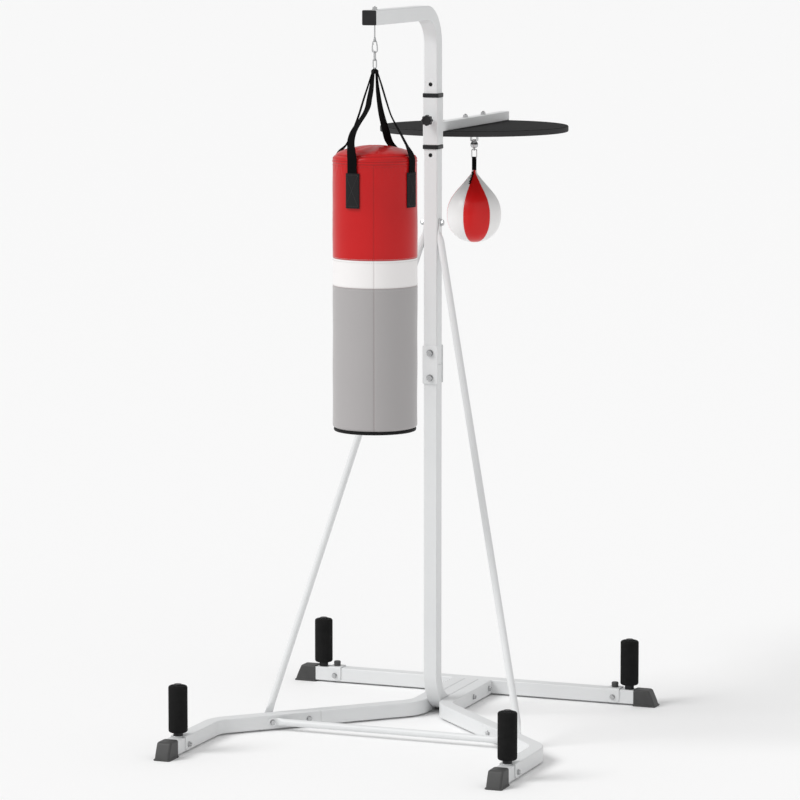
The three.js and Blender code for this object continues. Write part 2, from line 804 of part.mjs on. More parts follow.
// The eyebolt turns in the arm and hangs by its flanged nut.
function hangerEyebolt() {
  const seatZ = armAxisZ + tubeHalf + gap;
  const flange = { radius: 8.5, height: 2 };
  const nut = { radius: 7.5, height: 8 };
  const threadTop = 11;
  const eye = new THREE.TorusGeometry(eyeRadius, eyeWire / 2, wireSides, ringSteps)
    .rotateY(Math.PI / 2)
    .translate(0, 0, eyeCentreZ);
  return join(
    eye,
    rod(point(0, 0, eyeCentreZ + eyeRadius - 1), point(0, 0, seatZ + threadTop), hangerShank, 8),
    rod(point(0, 0, seatZ), point(0, 0, seatZ + flange.height), flange.radius),
    rod(point(0, 0, seatZ + flange.height / 2), point(0, 0, seatZ + nut.height), nut.radius, 6),
  );
}

const carabinerTopZ = eyeCentreZ - eyeRadius + eyeWire / 2 + chainWire / 2 + gap;
const chainLinkTopZ = carabinerBottomZ + chainWire + gap;
const bagRingTopZ = chainLinkBottomZ + chainWire + gap;

// Half the bag's outline from its bottom edge up to its crown, drawn in by a skin thickness.
function bagOutline(skin) {
  const shoulder = [
    [bagRadius, bagShoulderZ], [127, 1790], [123, 1798], [115, 1806], [98, 1814], [70, 1822], [36, 1828],
  ];
  const bottom = bagBottomZ + skin;
  return [
    [bagRadius - skin - 4, bottom], [bagRadius - skin, bottom + 8],
    ...shoulder.map(([radius, z]) => [radius - skin, z - skin]),
  ];
}

// The bag's shell is open at its crown, where it is filled.
function bagShell() {
  const mouth = 24;
  return turned([
    [0, bagBottomZ], ...bagOutline(0), [mouth, bagTopZ], [mouth, bagTopZ - bagSkin],
    ...bagOutline(bagSkin).reverse(), [0, bagBottomZ + bagSkin],
  ], 24);
}

function bagFilling() {
  const skin = bagSkin + 2 * gap;
  return turned([[0, bagBottomZ + skin], ...bagOutline(skin), [0, bagTopZ - skin]], 24);
}

function bagBase() {
  const topZ = bagBottomZ - gap;
  return turned([
    [0, baseCapBottomZ], [116, baseCapBottomZ], [122, baseCapBottomZ + 3], [124, topZ - 2], [124, topZ], [0, topZ],
  ], 24);
}

// Four webbing straps from the ring down over the shoulder to their sewn ends.
function bagHarness() {
  const inner = bagRadius + 0.4;
  const outer = inner + strapThickness;
  const apexZ = bagRingBottomZ + apexAbove;
  const strapOutline = new THREE.Shape([
    [2, apexZ - apexRadius], [inner, 1797], [inner, strapBottomZ], [outer, strapBottomZ], [outer, 1798.5], [7, apexZ],
    [2, apexZ],
  ].map(([radius, z]) => new THREE.Vector2(radius, z)));
  const straps = [0, 90, 180, 270].map((turn) => new THREE.ExtrudeGeometry(
    strapOutline, { depth: strapWidth, bevelEnabled: false },
  )
    .rotateX(Math.PI / 2)
    .translate(0, strapWidth / 2, 0)
    .rotateZ(radians(strapFirstAzimuth - 90 + turn)));
  const apex = rod(point(0, 0, bagRingBottomZ - apexBelow), point(0, 0, apexZ), apexRadius);
  return cut(
    join(apex, ...straps),
    wireLink(chainLinkWidth + 2 * gap, bagRingTopZ, bagRingBottomZ, chainWire + 2 * gap),
  );
}

// ---- Assembly ----

const punchingBagStand = new THREE.Group();
punchingBagStand.position.set(0, -(frontBootY - bootLength + platformY + platformRadius) / 2, 0);

function add(name, geometry, finish, x = 0, y = 0, z = 0, turn = 0) {
  const mesh = new THREE.Mesh(geometry, new THREE.MeshStandardMaterial(finishes[finish]));
  mesh.name = name;
  mesh.position.set(x, y, z);
  mesh.rotation.z = radians(turn);
  punchingBagStand.add(mesh);
  return mesh;
}

add('rear_cross_tube', rearCrossTube(), 'frame');
add('lower_post', lowerPost(), 'frame');
add('upper_mast', upperMast(), 'frame');
add('front_splice_plate', splicePlate(-1), 'frame');
add('rear_splice_plate', splicePlate(1), 'frame');
add('arm_end_cap', armEndCap(), 'plastic');
add('front_bar', frontBar(), 'frame');
add('lower_splice_bolt', bolt(...boltFaces.lowerSplice, boltSizes.large), 'zinc');
add('upper_splice_bolt', bolt(...boltFaces.upperSplice, boltSizes.large), 'zinc');
add('front_centre_bolt', bolt(...boltFaces.frontCentre, boltSizes.small), 'zinc');
add('rear_centre_bolt', bolt(...boltFaces.rearCentre, boltSizes.small), 'zinc');
add('brace_top_bolt', bolt(...boltFaces.braceTop, boltSizes.large), 'zinc');

for (const [hand, side] of [['left', -1], ['right', 1]]) {
  add(`${hand}_inner_leg`, innerLeg(side), 'frame');
  add(`${hand}_outer_leg`, outerLeg(side), 'frame');
  add(`${hand}_brace`, brace(side), 'frame');
  add(`${hand}_leg_bolt`, bolt(...legJointFaces(side), boltSizes.small), 'zinc');
  add(`${hand}_brace_bolt`, bolt(...braceFaces(side), boltSizes.small), 'zinc');

  add(`rear_${hand}_boot`, boot(), 'rubber', side * rearBootX, rearTubeY, 0, side > 0 ? 0 : 180);
  add(`rear_${hand}_roller`, foamRoller(), 'foam', side * rearPegX, rearTubeY);
  add(`rear_${hand}_clip`, rearClip(side), 'frame');
  add(`rear_${hand}_clip_bolt`, bolt(...rearClipFaces(side), boltSizes.small), 'zinc');
  add(`rear_${hand}_clip_plug`, clipPlug(), 'rubber', side * rearClipX, rearTubeY, clipTopZ + gap);

  add(`front_${hand}_boot`, boot(), 'rubber', side * legFootX, frontBootY, 0, -90);
  add(`front_${hand}_roller`, foamRoller(), 'foam', side * legFootX, frontPegY);
  add(`front_${hand}_clip`, frontClip(side), 'frame');
  add(`front_${hand}_clip_bolt`, bolt(...frontClipFaces(side), boltSizes.small), 'zinc');
}

add('height_sleeve', sleeveAndArm(), 'frame');
add('lower_bush', bush(sleeveBottomZ - bushHeight), 'plastic');
add('upper_bush', bush(sleeveTopZ), 'plastic');
add('height_knob', heightKnob(), 'plastic');
add('platform', platform(), 'board');
for (const [place, y] of Object.entries(platformBoltYs)) {
  add(`${place}_platform_bolt`, bolt(...platformBoltFaces(y), boltSizes.small), 'zinc');
}

add('swivel_plate', swivelPlate(), 'zinc', 0, platformY);
add('swivel_head', swivelHead(), 'zinc', 0, platformY);
add('ball_link', wireLink(ballLinkWidth, linkTopZ, linkBottomZ, ballLinkWire, ballLinkCorner), 'zinc', 0, platformY);
add('speed_ball_loop', ballLoop(), 'webbing', 0, platformY);
add('speed_ball', speedBall(), 'ballLeather', 0, platformY);

add('hanger_eyebolt', hangerEyebolt(), 'zinc', 0, hangY);
add('carabiner', wireLink(carabinerWidth, carabinerTopZ, carabinerBottomZ, chainWire), 'zinc', 0, hangY);
add('chain_link', wireLink(chainLinkWidth, chainLinkTopZ, chainLinkBottomZ, chainWire), 'zinc', 0, hangY, 0, 90);
add('bag_ring', wireLink(chainLinkWidth, bagRingTopZ, bagRingBottomZ, chainWire), 'zinc', 0, hangY);
add('bag_harness', bagHarness(), 'webbing', 0, hangY);
add('punching_bag', bagShell(), 'bagLeather', 0, hangY);
add('bag_filling', bagFilling(), 'filling', 0, hangY);
add('bag_base', bagBase(), 'rubber', 0, hangY);

export default punchingBagStand;
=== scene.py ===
import bmesh
import bpy
import numpy as np
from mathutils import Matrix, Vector


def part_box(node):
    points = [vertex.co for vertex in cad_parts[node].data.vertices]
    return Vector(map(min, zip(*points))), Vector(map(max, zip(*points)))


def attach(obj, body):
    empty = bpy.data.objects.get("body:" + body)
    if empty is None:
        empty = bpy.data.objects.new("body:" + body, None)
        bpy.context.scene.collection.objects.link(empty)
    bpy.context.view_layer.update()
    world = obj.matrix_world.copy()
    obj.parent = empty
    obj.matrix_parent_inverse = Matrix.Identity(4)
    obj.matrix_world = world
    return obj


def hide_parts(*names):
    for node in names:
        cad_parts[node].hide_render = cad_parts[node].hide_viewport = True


# A punching bag and a speed ball on one steel stand. Metres, +X right, +Y back, +Z up.

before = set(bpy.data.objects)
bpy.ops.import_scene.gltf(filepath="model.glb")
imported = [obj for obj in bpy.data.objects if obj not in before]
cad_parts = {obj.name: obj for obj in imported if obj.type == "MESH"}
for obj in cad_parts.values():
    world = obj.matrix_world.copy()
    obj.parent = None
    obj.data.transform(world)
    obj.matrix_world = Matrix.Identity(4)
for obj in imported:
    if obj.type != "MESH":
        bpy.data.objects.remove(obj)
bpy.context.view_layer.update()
mm = 0.001
turn = 2 * np.pi


def corners(node):
    # the lowest and highest corner of a node
    low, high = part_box(node)
    return np.array(low), np.array(high)


def middle(node):
    low, high = corners(node)
    return (low + high) / 2


def vector(x, y, z):
    return np.array([x, y, z], float)


def unit(direction):
    direction = np.asarray(direction, float)
    return direction / np.linalg.norm(direction, axis=-1, keepdims=True)


xWay, yWay, zWay = vector(1, 0, 0), vector(0, 1, 0), vector(0, 0, 1)
upright = (xWay, yWay, zWay)


def level(point):
    # the same place at floor height
    return point * vector(1, 1, 0)


def ease(value):
    # 0 below 0, 1 above 1, and a smooth step between
    value = np.clip(value, 0, 1)
    return value * value * (3 - 2 * value)


# ---- camera, floor and light ----

view = {
    "place": (4.3401, -11.4446, 2.6319),
    "tiltDown": 6.3716,
    "turn": 21.0525,
    "lens": 179.54,
    "sensor": 36,
    "rise": -0.1,
    "far": 500,
}
studio = {
    "floorSize": 400.0,
    "floorColour": (0.955, 0.955, 0.955, 1),
    "floorRoughness": 0.9,
    "worldColour": (1.0, 1.0, 1.0, 1),
    "worldStrength": 0.60,
    "lampAway": 5,
    "suns": [
        {"name": "keyLight", "from": (-0.66, -0.60, 0.86), "spread": 30, "power": 1.7},
        {"name": "fillLight", "from": (0.9, -0.7, 0.5), "spread": 60, "power": 0.22},
    ],
}


def makeCamera():
    eye = bpy.data.objects.new("camera", bpy.data.cameras.new("camera"))
    bpy.context.scene.collection.objects.link(eye)
    eye.location = view["place"]
    eye.rotation_euler = (np.radians(90 - view["tiltDown"]), 0, np.radians(view["turn"]))
    eye.data.lens = view["lens"]
    eye.data.sensor_width = view["sensor"]
    eye.data.shift_y = view["rise"]
    eye.data.clip_end = view["far"]
    bpy.context.scene.camera = eye


def makeStudio():
    reach = studio["floorSize"] / 2
    floor = bpy.data.meshes.new("floor")
    square = [(-reach, -reach, 0), (reach, -reach, 0), (reach, reach, 0), (-reach, reach, 0)]
    floor.from_pydata(square, [], [(0, 1, 2, 3)])
    ground = bpy.data.objects.new("floor", floor)
    bpy.context.scene.collection.objects.link(ground)
    paint = bpy.data.materials.new("floorPaint")
    paint.use_nodes = True
    shader = paint.node_tree.nodes["Principled BSDF"].inputs
    shader["Base Color"].default_value = studio["floorColour"]
    shader["Roughness"].default_value = studio["floorRoughness"]
    floor.materials.append(paint)
    world = bpy.data.worlds.new("studio")
    world.use_nodes = True
    sky = world.node_tree.nodes["Background"].inputs
    sky["Color"].default_value = studio["worldColour"]
    sky["Strength"].default_value = studio["worldStrength"]
    bpy.context.scene.world = world
    bpy.context.scene.view_settings.view_transform = "Standard"
    for lamp in studio["suns"]:
        light = bpy.data.lights.new(lamp["name"], "SUN")
        light.angle = float(np.radians(lamp["spread"]))
        light.energy = lamp["power"]
        holder = bpy.data.objects.new(lamp["name"], light)
        bpy.context.scene.collection.objects.link(holder)
        holder.location = Vector(lamp["from"]) * studio["lampAway"]
        holder.rotation_euler = Vector(lamp["from"]).to_track_quat("Z", "Y").to_euler()


makeCamera()
makeStudio()
print("camera and studio ready")


# ---- shader arithmetic ----


def operator(operation, swapped=False):
    def apply(self, other):
        first, second = (other, self) if swapped else (self, other)
        return self.finish.maths(operation, first, second)

    return apply


class Signal:
    # one output socket that works in Python arithmetic
    def __init__(self, finish, socket):
        self.finish = finish
        self.socket = socket

    __add__, __radd__ = operator("ADD"), operator("ADD", True)
    __sub__, __rsub__ = operator("SUBTRACT"), operator("SUBTRACT", True)
    __mul__, __rmul__ = operator("MULTIPLY"), operator("MULTIPLY", True)
    __gt__, __lt__ = operator("GREATER_THAN"), operator("LESS_THAN")


class Finish:
    # a material with one Principled shader, fed by node() and set()
    def __init__(self, name, **fixed):
        self.material = bpy.data.materials.new(name)
        self.material.use_nodes = True
        self.tree = self.material.node_tree
        self.shader = self.tree.nodes["Principled BSDF"]
        for socket, value in fixed.items():
            self.shader.inputs[socket.replace("_", " ")].default_value = value

    def feed(self, socket, value):
        if isinstance(value, Signal):
            self.tree.links.new(value.socket, socket)
        elif isinstance(value, tuple) and len(socket.default_value) == 4:
            socket.default_value = (*value, 1)
        else:
            socket.default_value = value

    def node(self, kind, output=0, values=None, stops=None, **settings):
        made = self.tree.nodes.new("ShaderNode" + kind)
        for setting, value in settings.items():
            setattr(made, setting, value)
        if stops:
            for index, (place, colour) in enumerate(stops):
                ramp = made.color_ramp.elements
                stop = ramp[index] if index < len(ramp) else ramp.new(place)
                stop.position = place
                stop.color = (*colour, 1)
        for socket, value in (values or {}).items():
            self.feed(made.inputs[socket], value)
        return Signal(self, made.outputs[output])

    def maths(self, operation, first, second=0.0):
        return self.node("Math", values={0: first, 1: second}, operation=operation)

    def near(self, value, target, reach):
        # 1 within reach of the target
        return self.node("Math", values={0: value, 1: target, 2: reach}, operation="COMPARE")

    def mix(self, factor, first, second):
        return self.node("Mix", 2, {0: factor, 6: first, 7: second}, data_type="RGBA")

    def place(self):
        return self.node("TexCoord", "Object")

    def noise(self, scale, detail=2.0, where=None):
        values = {"Vector": where or self.place(), "Scale": scale, "Detail": detail}
        return self.node("TexNoise", "Fac", values)

    def cells(self, scale, where=None):
        return self.node("TexVoronoi", "Distance", {"Vector": where or self.place(), "Scale": scale})

    def axes(self, where):
        made = self.tree.nodes.new("ShaderNodeSeparateXYZ")
        self.feed(made.inputs[0], where)
        return [Signal(self, made.outputs[axis]) for axis in "XYZ"]

    def set(self, socket, value):
        self.feed(self.shader.inputs[socket], value)

    def relief(self, height, strength, distance):
        bump = self.node("Bump", 0, {"Height": height, "Strength": strength, "Distance": distance})
        self.set("Normal", bump)


# ---- finishes ----


def plainFinish(name, dark, light, cloud, rough, grain, relief, **fixed):
    # the tone drifts with a cloud of scale and detail; rough gives a base, a share and the noise that it
    # follows; relief gives the strength and depth of the grain
    made = Finish(name, **fixed)
    base, share, noise = rough
    made.set("Base Color", made.mix(made.noise(*cloud), dark, light))
    made.set("Roughness", base + share * made.noise(*noise))
    made.relief(grain(made), *relief)
    return made.material


def grey(value):
    return (value, value, value)


def platformBoard():
    board = Finish("platformBoard", Specular_IOR_Level=0.03)
    height = board.axes(board.place())[2]
    grain = board.noise(240, 5)
    edge = (height < float(corners("platform")[1][2] - 1.2 * mm)) * 0.55
    top = board.mix(grain, (0.008, 0.008, 0.0085), (0.016, 0.016, 0.0165))
    board.set("Base Color", board.mix(edge, top, (0.072, 0.072, 0.073)))
    board.set("Roughness", 0.5 + 0.2 * grain)
    board.relief(grain, 0.3, 0.3 * mm)
    return board.material


def strapWebbing(name, dark, light):
    weave = Finish(name, Specular_IOR_Level=0.03)
    across, down, _ = weave.axes(weave.node("UVMap", 0))
    yarn = weave.maths("SINE", across * float(turn / (2.2 * mm)))
    pick = weave.maths("SINE", down * float(turn / (1.6 * mm)) + yarn * 1.4)
    height = 0.5 + 0.25 * yarn + 0.25 * pick
    weave.set("Base Color", weave.mix(height, dark, light))
    weave.set("Roughness", 0.88 - 0.2 * height)
    weave.relief(height, 0.7, 0.45 * mm)
    return weave.material


bag = {
    "columns": 288, "seams": [1411, 1494, 1779, 1787, 1802], "sideSeam": 20.0,
    "greyTop": 1411, "whiteTop": 1494,
    "grey": (0.385, 0.370, 0.370), "white": (0.82, 0.80, 0.795), "red": (0.56, 0.010, 0.011),
    "redDeep": (0.45, 0.007, 0.008), "seamShade": (0.10, 0.012, 0.012), "seamWidth": 0.8, "sideWidth": 0.56,
    "seamShare": 0.55, "ledge": 1779, "wallTop": 1776, "footRadius": 9,
    "shoulder": [(128, 1782), (127, 1790), (123, 1798), (115, 1806), (98, 1814), (70, 1822),
                 (36, 1828), (0, 1830)],
}


def bagLeather():
    hide = Finish("bagLeather", Specular_IOR_Level=0.22, Coat_Weight=0.05, Coat_Roughness=0.12)
    x, y, height = hide.axes(hide.place())
    lower = hide.mix(height > bag["greyTop"] * mm, bag["grey"], bag["white"])
    shade = hide.mix(hide.noise(7, 3), bag["red"], bag["redDeep"])
    skin = hide.mix(height > bag["whiteTop"] * mm, lower, shade)
    seam = sum((hide.near(height, seamZ * mm, bag["seamWidth"] * mm) for seamZ in bag["seams"]), 0.0)
    swing = np.radians(bag["sideSeam"])
    centreY = float(middle("punching_bag")[1])
    away = x * float(np.cos(swing)) + (y - centreY) * float(np.sin(swing))
    sideSeam = hide.near(away, 0.0, bag["sideWidth"] * mm) * (y < centreY)
    seam = seam + sideSeam * (height < bag["ledge"] * mm)
    dark = bag["seamShare"] * hide.maths("MINIMUM", seam, 1.0)
    hide.set("Base Color", hide.mix(dark, skin, bag["seamShade"]))
    hide.set("Roughness", 0.24 + 0.14 * hide.noise(28, 3))
    grain = hide.cells(520) + 0.6 * hide.noise(300, 3)
    hide.relief(grain, 0.18, 0.3 * mm)
    return hide.material


ball = {"panels": 6, "firstSeam": -94.0, "red": (0.62, 0.009, 0.009), "white": (0.84, 0.83, 0.825)}


def ballLeather():
    hide = Finish("ballLeather", Specular_IOR_Level=0.26, Coat_Weight=0.08, Coat_Roughness=0.16)
    x, y, _ = hide.axes(hide.place())
    centre = middle("speed_ball")
    angle = hide.maths("ARCTAN2", y - float(centre[1]), x - float(centre[0]))
    wave = hide.maths("SINE", (angle - float(np.radians(ball["firstSeam"]))) * (ball["panels"] / 2))
    hide.set("Base Color", hide.mix(wave > 0.0, ball["white"], ball["red"]))
    hide.set("Roughness", 0.26 + 0.14 * hide.noise(40, 3))
    hide.relief(hide.cells(620) + 0.5 * hide.noise(260, 3), 0.22, 0.3 * mm)
    return hide.material


def sewingThread(name, colour):
    dark = tuple(0.7 * part for part in colour)
    return plainFinish(name, dark, colour, (1800, 2), (0.6, 0.2, (1800, 2)), lambda made: made.noise(1800, 2),
                       (0.4, 0.1 * mm))


finishes = {
    "paint": plainFinish(
        "powderCoat", (0.70, 0.71, 0.715), (0.76, 0.768, 0.77), (5, 3), (0.3, 0.14, (60, 2)),
        lambda made: made.noise(620, 3), (0.16, 0.35 * mm), Specular_IOR_Level=0.45),
    "zinc": plainFinish(
        "brightZinc", (0.40, 0.405, 0.41), (0.60, 0.605, 0.61), (90, 4), (0.16, 0.18, (90, 4)),
        lambda made: made.noise(1500, 2), (0.1, 0.1 * mm), Metallic=1.0),
    "plastic": plainFinish(
        "mouldedPlastic", (0.010, 0.010, 0.011), (0.022, 0.022, 0.023), (40, 2), (0.30, 0.16, (40, 2)),
        lambda made: made.cells(1400), (0.25, 0.12 * mm), Specular_IOR_Level=0.24),
    "rubber": plainFinish(
        "footRubber", grey(0.042), (0.075, 0.075, 0.074), (30, 4), (0.40, 0.2, (30, 4)),
        lambda made: made.noise(900, 3), (0.22, 0.25 * mm),
        Specular_IOR_Level=0.3, Coat_Weight=0.05, Coat_Roughness=0.3),
    "foam": plainFinish(
        "rollerFoam", grey(0.006), grey(0.013), (55, 3), (0.92, -0.2, (120, 2)),
        lambda made: made.cells(760) + 0.5 * made.noise(1500, 2), (0.55, 0.5 * mm), Specular_IOR_Level=0.12),
    "board": platformBoard(),
    "webbing": strapWebbing("strapWebbing", grey(0.0015), (0.008, 0.008, 0.0085)),
    "patch": strapWebbing("patchWebbing", (0.014, 0.0135, 0.014), (0.034, 0.033, 0.034)),
    "bag": bagLeather(),
    "base": plainFinish(
        "baseLeather", grey(0.003), grey(0.010), (30, 3), (0.42, 0.2, (60, 2)),
        lambda made: made.cells(600), (0.4, 0.3 * mm), Specular_IOR_Level=0.15),
    "ball": ballLeather(),
    "redThread": sewingThread("redThread", (0.36, 0.02, 0.02)),
    "paleThread": sewingThread("paleThread", (0.62, 0.60, 0.59)),
    "darkThread": sewingThread("darkThread", grey(0.05)),
    "filling": plainFinish(
        "shreddedCloth", (0.16, 0.15, 0.14), (0.42, 0.40, 0.37), (45, 5), (0.85, 0.1, (45, 5)),
        lambda made: made.noise(45, 5), (0.8, 3 * mm)),
}
print("finishes ready:", len(finishes))


# ---- surfaces ----


def running(steps):
    return np.concatenate([[0], np.cumsum(steps)])


class Skin:
    # grids of points joined into quads, gathered into one mesh
    def __init__(self):
        self.points = []
        self.quads = []
        self.uvs = []
        self.count = 0

    def grid(self, points, closeRows=False, closeColumns=True):
        # rows by columns of points; a closed direction joins its last line to its first
        rows, columns = points.shape[:2]
        index = np.arange(rows * columns).reshape(rows, columns) + self.count
        net = points
        if closeRows:
            index, net = np.concatenate([index, index[:1]]), np.concatenate([net, net[:1]])
        if closeColumns:
            index, net = np.hstack([index, index[:, :1]]), np.hstack([net, net[:, :1]])
        across = running(np.linalg.norm(np.diff(net, axis=1), axis=2).max(axis=0))
        down = running(np.linalg.norm(np.diff(net, axis=0), axis=2).mean(axis=1))
        uv = np.stack(np.meshgrid(across, down), axis=-1)
        for store, net in ((self.quads, index), (self.uvs, uv)):
            store.append(np.stack([net[:-1, :-1], net[:-1, 1:], net[1:, 1:], net[1:, :-1]], axis=2))
        self.quads[-1] = self.quads[-1].reshape(-1, 4)
        self.uvs[-1] = self.uvs[-1].reshape(-1, 2)
        self.points.append(points.reshape(-1, 3))
        self.count += rows * columns
        return self

    def build(self, name):
        # one mesh with its doubles merged and its faces turned outwards
        points = np.concatenate(self.points)
        quads = np.concatenate(self.quads)
        mesh = bpy.data.meshes.new(name)
        mesh.vertices.add(len(points))
        mesh.vertices.foreach_set("co", points.astype(np.float32).ravel())
        mesh.loops.add(quads.size)
        mesh.loops.foreach_set("vertex_index", quads.astype(np.int32).ravel())
        mesh.polygons.add(len(quads))
        mesh.polygons.foreach_set("loop_start", np.arange(0, quads.size, 4, dtype=np.int32))
        mesh.update(calc_edges=True)
        mesh.uv_layers.new(name="UVMap").data.foreach_set(
            "uv", np.concatenate(self.uvs).astype(np.float32).ravel())
        sculpt = bmesh.new()
        sculpt.from_mesh(mesh)
        bmesh.ops.remove_doubles(sculpt, verts=sculpt.verts, dist=2e-6)
        bmesh.ops.recalc_face_normals(sculpt, faces=sculpt.faces)
        sculpt.to_mesh(mesh)
        sculpt.free()
        made = bpy.data.objects.new(name, mesh)
        bpy.context.scene.collection.objects.link(made)
        return made


def carve(made, cutters):
    # holes cut with other skins, applied to the mesh
    blades = [cutter.build("blade") for cutter in cutters]
    for blade in blades:
        hole = made.modifiers.new("hole", "BOOLEAN")
        hole.operation = "DIFFERENCE"
        hole.solver = "EXACT"
        hole.object = blade
    bpy.context.view_layer.update()
    solid = bpy.data.meshes.new_from_object(made.evaluated_get(bpy.context.evaluated_depsgraph_get()))
    made.modifiers.clear()
    made.data = solid
    for blade in blades:
        bpy.data.objects.remove(blade)


def camel(words):
    first, *rest = words.split("_")
    return first + "".join(word.title() for word in rest)


def piece(skin, finish, body, node=None, name=None, cutters=(), sharp=32):
    # a skin made into an object: carved, smooth with sharp creases, finished, and riding on its body;
    # it replaces its node and takes the node's name unless it has its own
    made = skin.build(name or camel(node))
    if cutters:
        carve(made, cutters)
    made.data.materials.clear()
    made.data.materials.append(finishes[finish])
    made.data.shade_smooth()
    made.data.set_sharp_from_angle(angle=float(np.radians(sharp)))
    weigh = made.modifiers.new("weightedNormals", "WEIGHTED_NORMAL")
    weigh.keep_sharp = True
    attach(made, body)
    if node:
        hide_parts(node)
    return made


def around(angle):
    return np.stack([np.cos(angle), np.sin(angle)], axis=-1)


def angles(columns):
    return np.arange(columns) * turn / columns


def roundedOutline(width, height, corner, steps=5):
    # a rectangle whose corners are quarter circles
    angle = np.linspace(0, np.pi / 2, steps + 1)
    quarter = np.arange(4)[:, None]
    signs = np.array([[1, 1], [-1, 1], [-1, -1], [1, -1]])
    centre = signs * np.array([width / 2 - corner, height / 2 - corner])
    swing = angle + quarter * np.pi / 2
    return (centre[:, None] + around(swing) * corner).reshape(-1, 2)


def circle(radius, columns):
    return radius * around(angles(columns))


def arc(centre, radius, start, end, steps=5):
    # points round a centre, with angles in degrees
    angle = np.radians(np.linspace(start, end, steps + 1))
    return np.array(centre) + radius * around(angle)


def throughPoints(points, count):
    # a smooth curve through the given points: cubic pieces with Catmull-Rom slopes
    points = np.asarray(points, float)
    knots = running(np.linalg.norm(np.diff(points, axis=0), axis=1))
    slopes = np.gradient(points, knots, axis=0)
    where = np.linspace(0, knots[-1], count)
    left = np.clip(np.searchsorted(knots, where, side="right") - 1, 0, len(points) - 2)
    span = (knots[left + 1] - knots[left])[:, None]
    t = ((where - knots[left])[:, None]) / span
    start = (2 * t ** 3 - 3 * t ** 2 + 1) * points[left] + (t ** 3 - 2 * t ** 2 + t) * span * slopes[left]
    end = (3 * t ** 2 - 2 * t ** 3) * points[left + 1] + (t ** 3 - t ** 2) * span * slopes[left + 1]
    return start + end


def frameOf(normal):
    # two directions square to a normal and to each other
    normal = unit(normal)
    helper = zWay if abs(normal[2]) < 0.9 else xWay
    across = unit(np.cross(helper, normal))
    return across, np.cross(normal, across), normal


def stand(outlines, heights, origin, axes=upright):
    # outlines laid at heights along the third axis
    across, up, normal = axes
    outlines = np.asarray(outlines)
    heights = np.broadcast_to(np.asarray(heights, float).reshape(len(outlines), -1), outlines.shape[:2])
    flat = outlines[..., :1] * across + outlines[..., 1:] * up
    return origin + flat + heights[..., None] * normal


def capped(rows, heights):
    # a point at the middle of each end closes a stack of outlines
    centre = np.zeros_like(rows[:1])
    return np.concatenate([centre, rows, centre]), np.concatenate([heights[:1], heights, heights[-1:]])


def slab(outline, low, high, edge, origin, axes=upright, steps=3):
    # a plate of any outline, whose rims are rounded by the edge radius; outline(inset) gives its points
    angle = np.linspace(0, np.pi / 2, steps + 1)
    inset = edge * (1 - np.sin(angle))
    lift = edge * (1 - np.cos(angle))
    rows = np.array([outline(amount) for amount in np.concatenate([inset, inset[::-1]])])
    rows, heights = capped(rows, np.concatenate([low + lift, high - lift[::-1]]))
    return Skin().grid(stand(rows, heights, origin, axes))


def lathe(skin, profile, columns, origin, axes=upright, closed=False):
    # a profile of radius and height turned about the third axis
    profile = np.asarray(profile, float)
    rows = profile[:, :1, None] * circle(1, columns)[None]
    return skin.grid(stand(rows, profile[:, 1], origin, axes), closeRows=closed)


def turned(radius, heights, angle, origin):
    # outlines whose radius differs from direction to direction
    return stand(radius[..., None] * around(angle)[None], heights, origin)


def bentRun(stops, bend, steps=18):
    # straight runs joined by arcs of one radius: the points and the heading at each
    stops = np.asarray(stops, float)
    headings = unit(np.diff(stops, axis=0))
    points, ways = [stops[:1]], [headings[:1]]
    for stop, before, after in zip(stops[1:-1], headings[:-1], headings[1:]):
        angle = np.arccos(np.clip(before @ after, -1, 1))
        inward = unit(after - before * (before @ after))
        centre = stop - before * bend * np.tan(angle / 2) + inward * bend
        sweep = np.linspace(0, angle, steps + 1)[:, None]
        points.append(centre - inward * bend * np.cos(sweep) + before * bend * np.sin(sweep))
        ways.append(before * np.cos(sweep) + inward * np.sin(sweep))
    points.append(stops[-1:])
    ways.append(headings[-1:])
    return np.concatenate(points), np.concatenate(ways)


def along(where, length, values):
    # points or headings of a path, read at distances along it
    return np.stack([np.interp(where, length, values[:, axis]) for axis in range(3)], axis=1)


def carry(sections, points, headings, side):
    # sections set square to a path, their first axis along side
    side = np.broadcast_to(side, points.shape)
    other = np.cross(headings, side)
    sections = np.broadcast_to(sections, (len(points), *np.shape(sections)[-2:]))
    across = sections[..., :1] * side[:, None]
    return points[:, None] + across + sections[..., 1:] * other[:, None]


def withEnds(rows):
    # a row at the centre of each end closes it
    first = np.broadcast_to(rows[0].mean(axis=0), rows[:1].shape)
    last = np.broadcast_to(rows[-1].mean(axis=0), rows[:1].shape)
    return np.concatenate([first, rows, last])


tube = {"side": 45 * mm, "corner": 4 * mm, "wall": 1.8 * mm, "bend": 100 * mm, "edge": 1.0 * mm}


def squareTube(skin, stops, across, side=None, wall=None, corner=None, bend=None, steps=18):
    # a hollow square tube along a bent run, its ends eased so that a seam shows
    side = side or tube["side"]
    wall = wall or tube["wall"]
    corner = corner or tube["corner"]
    points, headings = bentRun(stops, bend or tube["bend"], steps)
    edge = tube["edge"]
    points = np.concatenate([points[:1], points[:1] + headings[:1] * edge, points[1:-1],
                             points[-1:] - headings[-1:] * edge, points[-1:]])
    headings = np.concatenate([headings[:1], headings, headings[-1:]])
    full = roundedOutline(side, side, corner)
    drawn = roundedOutline(side - 2 * edge, side - 2 * edge, corner - edge / 2)
    inside = roundedOutline(side - 2 * wall, side - 2 * wall, max(corner - wall, 0.5 * mm))
    sections = np.array([drawn] + [full] * (len(points) - 2) + [drawn])
    outer = carry(sections, points, headings, across)
    inner = carry(inside, points, headings, across)
    return skin.grid(np.concatenate([outer, inner[::-1]]), closeRows=True)


# ---- places shared by several pieces ----

